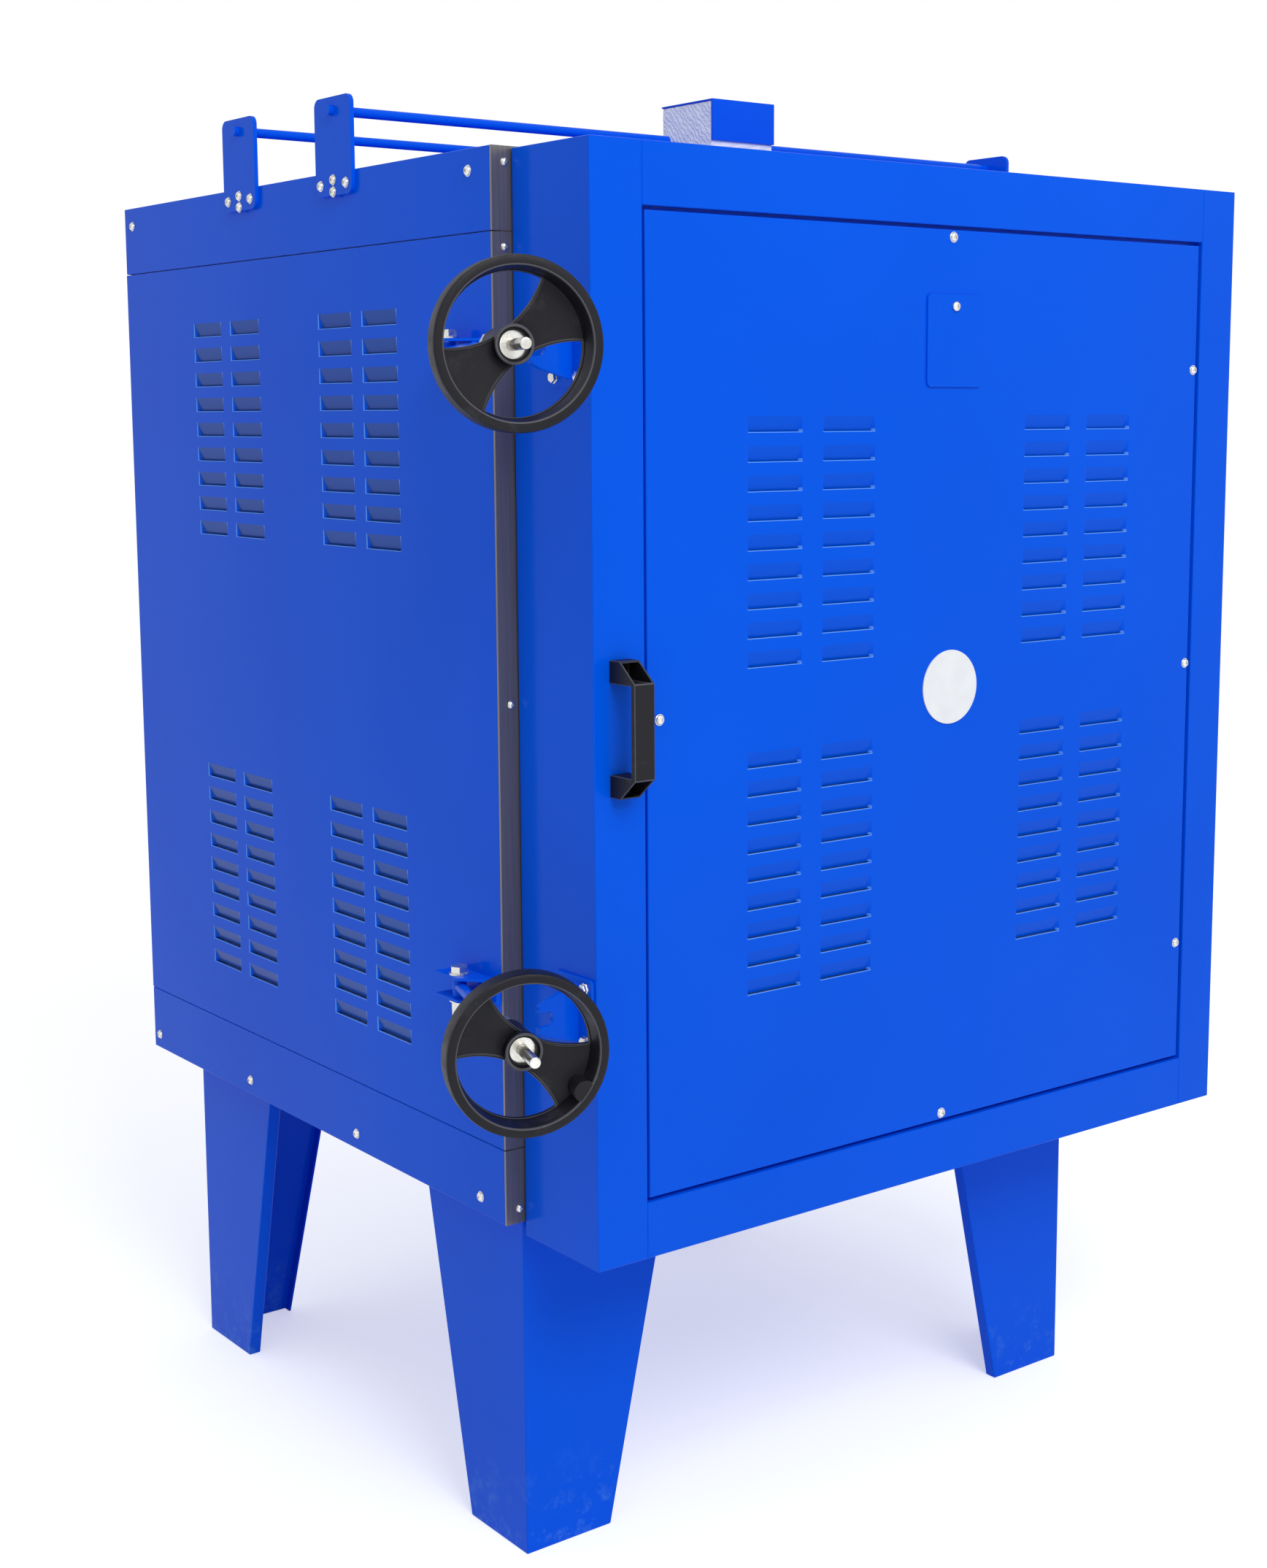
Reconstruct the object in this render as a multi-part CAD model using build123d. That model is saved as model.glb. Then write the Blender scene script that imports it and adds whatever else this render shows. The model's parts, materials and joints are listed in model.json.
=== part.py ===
from build123d import *
import os

# Front-loading electric ceramic kiln on four folded-sheet legs. Millimetres, +Z up, +Y towards the back,
# X = 0 on the door's centre line, Y = 0 on the door's front face, Z = 0 on the floor.

# Driving dimensions: cabinet
CABINET_W = 1006.0
CABINET_D = 871.0
CABINET_H = 1117.0
LEG_H = 385.0
SHEET_T = 2.0
SEAM = 1.0
CAP_SKIRT = 83.0
BAND_H = 82.0
FRAME_W = 60.0
FRAME_T = 3.0

# Driving dimensions: chamber and lining
LINING_SIDE_T = 213.0
LINING_BACK_T = 218.0
LINING_FLOOR_T = 190.0
LINING_ROOF_T = 157.0
AIR_GAP = 10.0
LINING_CLEAR = 0.3
GROOVE_H = 22.0
GROOVE_DEPTH = 20.0
GROOVE_COUNT = 7
GROOVE_FROM_FRONT = 40.0
GROOVE_FROM_CORNER = 25.0

# Driving dimensions: door
DOOR_SIDE_INSET = 23.0
DOOR_BELOW_BASE = 15.0
DOOR_UNDER_ROOF = 2.0
DOOR_D = 133.0
DOOR_GAP = 2.0
LEFT_STILE_W = 63.0
RIGHT_STILE_W = 58.0
TOP_RAIL_H = 62.0
BOTTOM_RAIL_H = 60.0
PANEL_GAP = 4.0
PANEL_T = 2.0
PANEL_SET_BACK = 1.5
PLUG_DEPTH = 25.0
PLUG_CLEAR = 8.0
DOOR_OPEN_DEG = 120.0

# Driving dimensions: pressed louvres
LOUVRE_W = 73.0
LOUVRE_H = 16.0
LOUVRE_IN = 7.0
LOUVRE_CHEEK = 4.0
LOUVRE_WALL = 1.2
LOUVRE_PITCH = 30.3
LOUVRE_ROWS = 9
FRONT_COLUMN_STEP = 102.5
SIDE_COLUMN_STEP = 98.0
FRONT_BANK_X = (-194.5, 211.5)
FRONT_UPPER_LIP_UNDER_TOP = 524.0
FRONT_LOWER_LIP_ABOVE_FOOT = 258.0
SIDE_BANK_FROM_FRONT = (275.0, 592.0)
SIDE_UPPER_LIP_UNDER_ROOF = 411.0
SIDE_LOWER_LIP_ABOVE_BASE = 156.0

# Driving dimensions: clamps
ROD_D = 11.0
ROD_PAINTED_D = 12.4
ROD_PAINTED_L = 84.0
ROD_END_REACH = 109.0
RUN_CLEAR = 0.05
SEAT_CLEAR = 0.3
PIVOT_OUT = 19.0
PIVOT_BACK = 55.0
BOLT_D = 8.0
BOLT_HEAD_AF = 14.0
BOLT_HEAD_H = 5.5
WASHER_D = 18.0
WASHER_T = 1.6
NUT_H = 6.5
BOLT_TAIL = 7.0
EAR_GAP = 21.0
EAR_T = 3.0
EAR_OUT = 31.0
EAR_BACK = 30.0
EAR_FLAT_FRONT = 14.0
EAR_FROM_FRAME = 5.0
BUSH_D = 15.0
UPPER_CLAMP_UNDER_ROOF = 202.0
LOWER_CLAMP_ABOVE_BASE = 253.0
CLAMP_REST_DEG = 18.5
LOCKNUT_TURN_DEG = 20.0
LOCKNUT_AF = 12.0
SWING_OUT_DEG = 120.0
ROD_END_CHAMFER = 1.2

# Driving dimensions: handwheel
WHEEL_D = 160.0
WHEEL_RIM_T = 12.0
WHEEL_RIM_DEPTH = 33.0
WHEEL_FRONT_Y = -95.0
WEB_T = 6.0
WEB_SET_BACK = 13.0
HUB_RING_D = 37.0
HUB_RING_FRONT = 15.0
HUB_REAR_D = 34.0
HUB_REAR_Y = -12.0
INSERT_D = 26.0
INSERT_HEX_AF = 24.0
INSERT_FRONT_SET = 8.0
INSERT_REAR_Y = 20.0
WHEEL_EDGE = 4.0
OPENING_HUB_GAP = 24.0
OPENING_ARC_R = 140.0
OPENING_CORNER = 8.0
UPPER_WHEEL_TURN = 34.0
LOWER_WHEEL_TURN = -30.0
GRIP_BOSS_D = 22.0
GRIP_BOSS_TURN = -112.0

# Driving dimensions: door fork brackets
FORK_LEAF_T = 4.0
FORK_LEAF_H = 74.0
FORK_LEAF_FRONT = 3.0
FORK_LEAF_D = 66.0
FORK_PLATE_T = 6.0
FORK_PLATE_Y = 26.0
FORK_TIP_HALF = 19.0
FORK_TIP_PAST_ROD = 10.0
FORK_SLOT_CLEAR = 2.0
FORK_LEAF_CORNER = 5.0
FORK_TAPER = 10.0
FORK_ROOT_SET = 6.0

# Driving dimensions: hinges
HINGE_PIN_D = 10.0
HINGE_BARREL_D = 20.0
HINGE_KNUCKLE_H = 45.0
HINGE_LEAF_T = 5.0
HINGE_AXIS_OUT = 30.0
HINGE_AXIS_FROM_BACK = 13.0
HINGE_LEAF_L = 70.0
HINGE_PIN_TAIL = 3.0
HINGE_DOOR_LEAF_L = 74.0
HINGE_ARM_T = 8.0

# Driving dimensions: door furniture
HANDLE_L = 144.0
HANDLE_W = 26.0
HANDLE_OUT = 42.0
HANDLE_BAR_T = 15.0
HANDLE_CHAMFER = 16.0
HANDLE_UNDER_MIDDLE = 10.0
HANDLE_IN = 32.0
HANDLE_FOOT_L = 24.0
HANDLE_INNER_CHAMFER = 8.0
BADGE_D = 83.0
BADGE_T = 2.0
BADGE_UNDER_MIDDLE = 1.0
FEATURE_X = 9.0
COVER_W = 83.0
COVER_H = 100.0
COVER_T = 2.0
COVER_UNDER_TOP = 135.0
COVER_PIVOT_DROP = 13.0
COVER_SCREW_D = 6.0
COVER_SCREW_HEAD_D = 11.0
COVER_SCREW_HEAD_T = 4.0
COVER_CORNER = 6.0
PEEPHOLE_D = 32.0
PEEPHOLE_DROP = 58.0

# Driving dimensions: legs
STAND_INSET_LEFT = 28.0
STAND_INSET_RIGHT = 138.0
STAND_INSET_FRONT = 11.0
STAND_INSET_BACK = 86.0
LEG_TOP_W = 198.0
LEG_FOOT_W = 113.0
LEG_T = 3.0
LEG_LIP = 16.0

# Driving dimensions: roof fittings
UPRIGHT_W = 80.0
UPRIGHT_T = 5.0
UPRIGHT_ABOVE = 80.0
UPRIGHT_BELOW = 26.0
UPRIGHT_CORNER = 10.0
UPRIGHT_FROM_FRONT = (309.0, 535.0)
CROSS_ROD_D = 11.0
CROSS_ROD_BELOW_TOP = 15.0
CROSS_ROD_PAST = 6.0
VENT_W = 96.0
VENT_D = 72.0
VENT_H = 48.0
VENT_BASE_H = 58.0
VENT_FROM_FRONT = 221.0
VENT_SHEET_T = 2.0

# How far a cutting shape runs past the face that it cuts
CUT_OVER = 1.0

# Derived places
FRONT_Y = DOOR_D + DOOR_GAP
BACK_Y = FRONT_Y + CABINET_D
ROOF_Z = LEG_H + CABINET_H
SIDE_X = CABINET_W / 2
DOOR_X = SIDE_X - DOOR_SIDE_INSET
DOOR_Z0 = LEG_H - DOOR_BELOW_BASE
DOOR_TOP_Z = ROOF_Z - DOOR_UNDER_ROOF
DOOR_MIDDLE_Z = (DOOR_Z0 + DOOR_TOP_Z) / 2
PIVOT_X = -(SIDE_X + PIVOT_OUT)
PIVOT_Y = FRONT_Y + PIVOT_BACK
CLAMP_LEVELS = {
    "upper": ROOF_Z - UPPER_CLAMP_UNDER_ROOF,
    "lower": LEG_H + LOWER_CLAMP_ABOVE_BASE,
}
LINING_X = SIDE_X - SHEET_T - AIR_GAP
LINING_FRONT_Y = FRONT_Y + FRAME_T
CHAMBER_X = SIDE_X - LINING_SIDE_T
CHAMBER_BACK_Y = BACK_Y - LINING_BACK_T
CHAMBER_Z0 = LEG_H + LINING_FLOOR_T
CHAMBER_Z1 = ROOF_Z - LINING_ROOF_T
PANEL_X0 = -DOOR_X + LEFT_STILE_W
PANEL_X1 = DOOR_X - RIGHT_STILE_W
PANEL_Z0 = DOOR_Z0 + BOTTOM_RAIL_H
PANEL_Z1 = DOOR_TOP_Z - TOP_RAIL_H
PANEL_Y = PANEL_SET_BACK
HANDLE_Z = DOOR_MIDDLE_Z - HANDLE_UNDER_MIDDLE
BADGE_Z = DOOR_MIDDLE_Z - BADGE_UNDER_MIDDLE
COVER_TOP_Z = DOOR_TOP_Z - COVER_UNDER_TOP
COVER_PIVOT_Z = COVER_TOP_Z - COVER_PIVOT_DROP
PEEPHOLE_Z = COVER_TOP_Z - PEEPHOLE_DROP
HINGE_X = DOOR_X + HINGE_AXIS_OUT
HINGE_AXIS_Y = DOOR_D - HINGE_AXIS_FROM_BACK
FRONT_BANK_LIP_Z = (DOOR_Z0 + FRONT_LOWER_LIP_ABOVE_FOOT, DOOR_TOP_Z - FRONT_UPPER_LIP_UNDER_TOP)
SIDE_BANK_LIP_Z = (LEG_H + SIDE_LOWER_LIP_ABOVE_BASE, ROOF_Z - SIDE_UPPER_LIP_UNDER_ROOF)
SIDE_BANK_Y = [FRONT_Y + distance for distance in SIDE_BANK_FROM_FRONT]
UPRIGHT_Y = [FRONT_Y + distance for distance in UPRIGHT_FROM_FRONT]
VENT_Y = FRONT_Y + VENT_FROM_FRONT


def span(x0, x1, y0, y1, z0, z1):
    """A plain slab between two corners."""
    size = (x1 - x0, y1 - y0, z1 - z0)
    return Pos((x0 + x1) / 2, (y0 + y1) / 2, (z0 + z1) / 2) * Box(*size)


def rod_along(axis, start, length, diameter):
    """A round bar that starts at a point and runs along X, Y or Z."""
    turn = {"X": Rot(0, 90, 0), "Y": Rot(-90, 0, 0), "Z": Rot(0, 0, 0)}[axis]
    bar = Cylinder(diameter / 2, length, align=(Align.CENTER, Align.CENTER, Align.MIN))
    return Pos(*start) * turn * bar


def plate_from_outline(plane, points, thickness):
    """A flat plate extruded from a closed outline of corner points."""
    return extrude(plane * make_face(Polyline(*points, close=True)), thickness)


# Pressed louvres
def recess(width, rise, depth, cheek, front):
    """A wedge behind the plane Y = 0: nothing at its top, deepest at Z = 0, with ends that lean inwards."""
    slope = make_face(Polyline((front, rise * (1 - front / depth)), (front, 0), (depth, 0), close=True))
    wedge = extrude(Plane.YZ * slope, width / 2 + cheek, both=True)
    half_front = width / 2 - cheek * front / depth
    half_deep = width / 2 - cheek
    plan = [(-half_front, front), (half_front, front), (half_deep, depth), (-half_deep, depth)]
    return wedge & extrude(make_face(Polyline(*plan, close=True)), rise * 2)


def louvred(sheet, places):
    """The sheet, front face on Y = 0, with a blade pressed inwards over an open slot at each place."""
    blade = recess(LOUVRE_W, LOUVRE_H, LOUVRE_IN, LOUVRE_CHEEK, -CUT_OVER)
    skin_w = LOUVRE_W + 2 * LOUVRE_WALL
    skin = recess(skin_w, LOUVRE_H + 2 * LOUVRE_WALL, LOUVRE_IN + LOUVRE_WALL, LOUVRE_CHEEK, LOUVRE_WALL)
    sheet += [place * skin for place in places]
    return sheet - [place * blade for place in places]


def bank_places(centre_x, column_step, lip_z):
    """Where the louvres of a two-column bank go, counted upwards from the lowest lip."""
    return [
        Pos(centre_x + side * column_step / 2, 0, lip_z + row * LOUVRE_PITCH)
        for side in (-1, 1)
        for row in range(LOUVRE_ROWS)
    ]


# Legs
def leg(corner_x, corner_y, to_right, to_back):
    """A folded leg: two tapered flanges that meet at the outer corner, each with a return lip."""
    front = [(0, 0), (0, LEG_H), (LEG_TOP_W, LEG_H), (LEG_FOOT_W, 0)]
    front_flange = extrude(Plane.XZ * make_face(Polyline(*front, close=True)), -LEG_T)
    side_flange = extrude(Plane.YZ * make_face(Polyline(*front, close=True)), LEG_T)
    slope = [(LEG_FOOT_W, 0), (LEG_TOP_W, LEG_H), (LEG_TOP_W - LEG_T, LEG_H), (LEG_FOOT_W - LEG_T, 0)]
    front_lip = extrude(Plane.XZ * make_face(Polyline(*slope, close=True)), -LEG_LIP)
    side_lip = extrude(Plane.YZ * make_face(Polyline(*slope, close=True)), LEG_LIP)
    body = front_flange + side_flange + front_lip + side_lip
    if not to_right and not to_back:
        body = Rot(0, 0, 180) * body
    elif not to_right:
        body = mirror(body, about=Plane.YZ)
    elif not to_back:
        body = mirror(body, about=Plane.XZ)
    return Pos(corner_x, corner_y, 0) * body


# Cabinet
def base_tray():
    """The bottom band: a tray with a floor sheet and three folded sides, open towards the front frame."""
    outer = span(-SIDE_X, SIDE_X, LINING_FRONT_Y, BACK_Y, LEG_H, LEG_H + BAND_H)
    x, y = SIDE_X - SHEET_T, BACK_Y - SHEET_T
    return outer - span(-x, x, LINING_FRONT_Y - CUT_OVER, y, LEG_H + SHEET_T, LEG_H + BAND_H + CUT_OVER)


def roof_cap():
    """The lid: a roof sheet with three skirts, open towards the front frame."""
    outer = span(-SIDE_X, SIDE_X, LINING_FRONT_Y, BACK_Y, ROOF_Z - CAP_SKIRT, ROOF_Z)
    x, y = SIDE_X - SHEET_T, BACK_Y - SHEET_T
    return outer - span(-x, x, LINING_FRONT_Y - CUT_OVER, y, ROOF_Z - CAP_SKIRT - CUT_OVER, ROOF_Z - SHEET_T)


def side_panel(right):
    """A louvred side sheet between the bottom band and the roof cap."""
    z0 = LEG_H + BAND_H + SEAM
    z1 = ROOF_Z - CAP_SKIRT - SEAM
    sheet = span(-BACK_Y, -LINING_FRONT_Y, 0, SHEET_T, z0, z1)
    places = []
    for bank_y in SIDE_BANK_Y:
        for lip_z in SIDE_BANK_LIP_Z:
            places += bank_places(-bank_y, SIDE_COLUMN_STEP, lip_z)
    panel = Pos(-SIDE_X, 0, 0) * Rot(0, 0, -90) * louvred(sheet, places)
    return mirror(panel, about=Plane.YZ) if right else panel


def back_panel():
    """The plain back sheet between the two side sheets."""
    x = SIDE_X - SHEET_T
    z0 = LEG_H + BAND_H + SEAM
    z1 = ROOF_Z - CAP_SKIRT - SEAM
    return span(-x, x, BACK_Y - SHEET_T, BACK_Y, z0, z1)


def front_frame():
    """The four bare strips around the chamber mouth: top and bottom run full width."""
    y0, y1 = FRONT_Y, LINING_FRONT_Y
    z_low = LEG_H + BAND_H
    z_high = ROOF_Z - CAP_SKIRT
    return [
        span(-SIDE_X, SIDE_X, y0, y1, z_high, ROOF_Z),
        span(-SIDE_X, SIDE_X, y0, y1, LEG_H, z_low),
        span(-SIDE_X, -SIDE_X + FRAME_W, y0, y1, z_low + SEAM, z_high - SEAM),
        span(SIDE_X - FRAME_W, SIDE_X, y0, y1, z_low + SEAM, z_high - SEAM),
    ]


def groove_levels():
    """Heights of the element grooves, evenly spread over the chamber."""
    step = (CHAMBER_Z1 - CHAMBER_Z0) / GROOVE_COUNT
    return [CHAMBER_Z0 + step * (i + 0.5) for i in range(GROOVE_COUNT)]


def lining():
    """Firebrick slabs around the chamber; both sides and the back carry grooves for the elements."""
    x_out, x_in = LINING_X, CHAMBER_X
    y0, y_in, y1 = LINING_FRONT_Y, CHAMBER_BACK_Y, BACK_Y - SHEET_T - LINING_CLEAR
    z0, z1 = LEG_H + SHEET_T, ROOF_Z - SHEET_T
    left = span(-x_out, -x_in, y0, y_in, CHAMBER_Z0, CHAMBER_Z1)
    back = span(-x_out, x_out, y_in, y1, CHAMBER_Z0, CHAMBER_Z1)
    groove_y0, groove_y1 = y0 + GROOVE_FROM_FRONT, y_in - GROOVE_FROM_CORNER
    groove_x = x_in - GROOVE_FROM_CORNER
    for z in groove_levels():
        low, high = z - GROOVE_H / 2, z + GROOVE_H / 2
        left -= span(-x_in - GROOVE_DEPTH, -x_in + CUT_OVER, groove_y0, groove_y1, low, high)
        back -= span(-groove_x, groove_x, y_in - CUT_OVER, y_in + GROOVE_DEPTH, low, high)
    return {
        "lining_left": left,
        "lining_right": mirror(left, about=Plane.YZ),
        "lining_back": back,
        "lining_floor": span(-x_out, x_out, y0, y1, z0, CHAMBER_Z0),
        "lining_roof": span(-x_out, x_out, y0, y1, CHAMBER_Z1, z1),
    }


# Roof fittings
def roof_uprights():
    """Four flat lifting plates on the cap's sides, rounded below, each with a hole near its top."""
    z0 = ROOF_Z - UPRIGHT_BELOW
    z1 = ROOF_Z + UPRIGHT_ABOVE
    plate = span(SIDE_X, SIDE_X + UPRIGHT_T, -UPRIGHT_W / 2, UPRIGHT_W / 2, z0, z1)
    plate = fillet(plate.edges().filter_by(Axis.X), UPRIGHT_CORNER)
    hole_z = z1 - CROSS_ROD_BELOW_TOP
    hole_d = CROSS_ROD_D + 2 * RUN_CLEAR
    plate -= rod_along("X", (SIDE_X - CUT_OVER, 0, hole_z), UPRIGHT_T + 2 * CUT_OVER, hole_d)
    return [Pos(0, y, 0) * Rot(0, 0, turn) * plate for y in UPRIGHT_Y for turn in (0, 180)]


def cross_rods():
    """The round rods that join each pair of uprights across the roof."""
    half = SIDE_X + UPRIGHT_T + CROSS_ROD_PAST
    z = ROOF_Z + UPRIGHT_ABOVE - CROSS_ROD_BELOW_TOP
    return [rod_along("X", (-half, y, z), 2 * half, CROSS_ROD_D) for y in UPRIGHT_Y]


def vent_parts():
    """The flue block on the roof: a fibre core with a folded sheet cover over the top of it."""
    x0, x1 = FEATURE_X - VENT_W / 2, FEATURE_X + VENT_W / 2
    y0, y1 = VENT_Y, VENT_Y + VENT_D
    z_base = ROOF_Z + VENT_BASE_H
    z1 = z_base + VENT_H
    t = VENT_SHEET_T
    core = span(x0, x1, y0 + t, y1 - t, ROOF_Z, z1 - t)
    cover = span(x0, x1, y0, y1, z_base, z1)
    cover -= span(x0 - CUT_OVER, x1 + CUT_OVER, y0 + t, y1 - t, z_base - CUT_OVER, z1 - t)
    return {"vent_core": core, "vent_cover": cover}


# Clamps
def clevises():
    """Two U-channels on the cabinet side: a web on the wall and two tapered ears for each pivot bolt."""
    inner = EAR_GAP / 2
    outer = inner + EAR_T
    x_wall = -SIDE_X
    x_out = x_wall - EAR_OUT
    y0, y1 = FRONT_Y + EAR_FROM_FRAME, PIVOT_Y + EAR_BACK
    outline = [(x_wall, y0), (x_out, PIVOT_Y - EAR_FLAT_FRONT), (x_out, y1), (x_wall, y1)]
    block = extrude(make_face(Polyline(*outline, close=True)), outer, both=True)
    block -= span(x_out - CUT_OVER, x_wall - EAR_T, y0 - CUT_OVER, y1 + CUT_OVER, -inner, inner)
    bore_h = 2 * (outer + CUT_OVER)
    block -= rod_along("Z", (PIVOT_X, PIVOT_Y, -bore_h / 2), bore_h, BOLT_D + 2 * RUN_CLEAR)
    return [Pos(0, 0, z) * block for z in CLAMP_LEVELS.values()]


def hexagon(across_flats, height):
    """A hexagonal prism standing on Z = 0."""
    return extrude(RegularPolygon(across_flats / 2, 6, major_radius=False), height)


def pivot_bolts():
    """The hinge bolts of the clamps: head and washer above the ears, washer, nut and thread end below."""
    top = EAR_GAP / 2 + EAR_T
    tail = WASHER_T + 2 * NUT_H + BOLT_TAIL
    bolt = rod_along("Z", (0, 0, -top - tail), 2 * top + tail + WASHER_T, BOLT_D)
    bolt += rod_along("Z", (0, 0, top), WASHER_T, WASHER_D)
    bolt += Pos(0, 0, top + WASHER_T) * hexagon(BOLT_HEAD_AF, BOLT_HEAD_H)
    bolt += rod_along("Z", (0, 0, -top - WASHER_T), WASHER_T, WASHER_D)
    bolt += Pos(0, 0, -top - WASHER_T - NUT_H) * hexagon(BOLT_HEAD_AF, NUT_H)
    bolt += Pos(0, 0, -top - WASHER_T - 2 * NUT_H) * Rot(0, 0, LOCKNUT_TURN_DEG) * hexagon(LOCKNUT_AF, NUT_H)
    return [Pos(PIVOT_X, PIVOT_Y, z) * bolt for z in CLAMP_LEVELS.values()]


def swung(z):
    """Where a clamp rests: drawn straight forward about the pivot, then swung out to the side."""
    return Pos(PIVOT_X, PIVOT_Y, z) * Rot(0, 0, -CLAMP_REST_DEG) * Pos(0, -PIVOT_Y, 0)


def swing_rod():
    """The clamp's rod: an eye bush on the pivot bolt, a painted shank and the bare threaded length."""
    height = EAR_GAP - 2 * SEAT_CLEAR
    eye = rod_along("Z", (0, PIVOT_Y, -height / 2), height, BUSH_D)
    painted = rod_along("Y", (0, PIVOT_Y - ROD_PAINTED_L, 0), ROD_PAINTED_L, ROD_PAINTED_D)
    bare = rod_along("Y", (0, -ROD_END_REACH, 0), PIVOT_Y + ROD_END_REACH, ROD_D)
    bare = chamfer(bare.faces().sort_by(Axis.Y)[0].edges(), ROD_END_CHAMFER)
    rod = eye + painted + bare
    return rod - rod_along("Z", (0, PIVOT_Y, -height), 2 * height, BOLT_D + 2 * RUN_CLEAR)


def ring_along_y(outer_d, inner_d, y0, y1):
    """A round ring about the Y axis between two planes."""
    ring = rod_along("Y", (0, y0, 0), y1 - y0, outer_d)
    return ring - rod_along("Y", (0, y0 - CUT_OVER, 0), y1 - y0 + 2 * CUT_OVER, inner_d)


def wheel_openings(y0, y1):
    """The two openings that leave a pair of flared spokes between hub and rim."""
    rim_r = WHEEL_D / 2 - WHEEL_RIM_T
    lens = Circle(rim_r - CUT_OVER) & (Pos(0, OPENING_HUB_GAP + OPENING_ARC_R) * Circle(OPENING_ARC_R))
    lens = fillet(lens.vertices(), OPENING_CORNER)
    upper = Pos(0, y0, 0) * extrude(Plane.XZ * lens, y0 - y1)
    return upper + Rot(0, 180, 0) * upper


def handwheel(turn, with_grip_boss):
    """A two-spoke wheel about the Y axis: deep bevelled rim, recessed web, raised hub ring and rear boss."""
    r_in = WHEEL_D / 2 - WHEEL_RIM_T
    y_front, y_back = WHEEL_FRONT_Y, WHEEL_FRONT_Y + WHEEL_RIM_DEPTH
    rim = rod_along("Y", (0, y_front, 0), y_back - y_front, WHEEL_D)
    rim = chamfer(rim.edges().filter_by(GeomType.CIRCLE), WHEEL_EDGE)
    rim -= rod_along("Y", (0, y_front - CUT_OVER, 0), y_back - y_front + 2 * CUT_OVER, 2 * r_in)
    web_y = y_front + WEB_SET_BACK
    web = ring_along_y(2 * (r_in + CUT_OVER), INSERT_D, web_y, web_y + WEB_T)
    web -= wheel_openings(web_y - CUT_OVER, web_y + WEB_T + CUT_OVER)
    hub_front = ring_along_y(HUB_RING_D, INSERT_D, y_front + HUB_RING_FRONT, web_y + WEB_T)
    boss = ring_along_y(HUB_REAR_D, INSERT_D, web_y, HUB_REAR_Y)
    wheel = rim + web + hub_front + boss
    if with_grip_boss:
        reach = r_in - GRIP_BOSS_D / 4
        grip_boss = rod_along("Y", (0, y_front + WHEEL_EDGE, reach), WEB_SET_BACK, GRIP_BOSS_D)
        wheel += Rot(0, -GRIP_BOSS_TURN, 0) * grip_boss
    return Rot(0, -turn, 0) * wheel


def wheel_insert():
    """The plated threaded bush moulded into the hub: round inside the hub, hexagonal behind it."""
    y_front = WHEEL_FRONT_Y + HUB_RING_FRONT + INSERT_FRONT_SET
    body = rod_along("Y", (0, y_front, 0), HUB_REAR_Y - y_front, INSERT_D)
    hexa = Pos(0, HUB_REAR_Y, 0) * Rot(-90, 0, 0) * hexagon(INSERT_HEX_AF, INSERT_REAR_Y - HUB_REAR_Y)
    insert = body + hexa
    bore_l = INSERT_REAR_Y - y_front + 2 * CUT_OVER
    return insert - rod_along("Y", (0, y_front - CUT_OVER, 0), bore_l, ROD_D + 2 * RUN_CLEAR)


def fork_bracket(z):
    """The door's clamp bracket: a screwed leaf on the door side and a tapered plate with an open slot."""
    x_door = -DOOR_X
    x_leaf = x_door - FORK_LEAF_T
    half = FORK_LEAF_H / 2
    root = half - FORK_ROOT_SET
    leaf = span(x_leaf, x_door, FORK_LEAF_FRONT, FORK_LEAF_FRONT + FORK_LEAF_D, -half, half)
    leaf = fillet(leaf.edges().filter_by(Axis.X), FORK_LEAF_CORNER)
    tip_x = PIVOT_X - FORK_TIP_PAST_ROD
    outline = [
        (x_door - CUT_OVER, -root),
        (tip_x + FORK_TAPER, -FORK_TIP_HALF),
        (tip_x, -FORK_TIP_HALF + FORK_LEAF_CORNER),
        (tip_x, FORK_TIP_HALF - FORK_LEAF_CORNER),
        (tip_x + FORK_TAPER, FORK_TIP_HALF),
        (x_door - CUT_OVER, root),
    ]
    plate = plate_from_outline(Plane.XZ, outline, -FORK_PLATE_T)
    plate = Pos(0, FORK_PLATE_Y, 0) * plate
    slot_half = ROD_D / 2 + FORK_SLOT_CLEAR
    y0, y1 = FORK_PLATE_Y - CUT_OVER, FORK_PLATE_Y + FORK_PLATE_T + CUT_OVER
    slot = span(tip_x - CUT_OVER, PIVOT_X, y0, y1, -slot_half, slot_half)
    slot += rod_along("Y", (PIVOT_X, y0, 0), y1 - y0, 2 * slot_half)
    return Pos(0, 0, z) * (leaf + plate - slot)


# Door
def door_frame():
    """The door's casing: two full-height stiles with a rail between them at the top and at the bottom."""
    z0, z1 = DOOR_Z0, DOOR_TOP_Z
    return {
        "door_left_stile": span(-DOOR_X, PANEL_X0, 0, DOOR_D, z0, z1),
        "door_right_stile": span(PANEL_X1, DOOR_X, 0, DOOR_D, z0, z1),
        "door_top_rail": span(PANEL_X0, PANEL_X1, 0, DOOR_D, PANEL_Z1, z1),
        "door_bottom_rail": span(PANEL_X0, PANEL_X1, 0, DOOR_D, z0, PANEL_Z0),
    }


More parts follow.
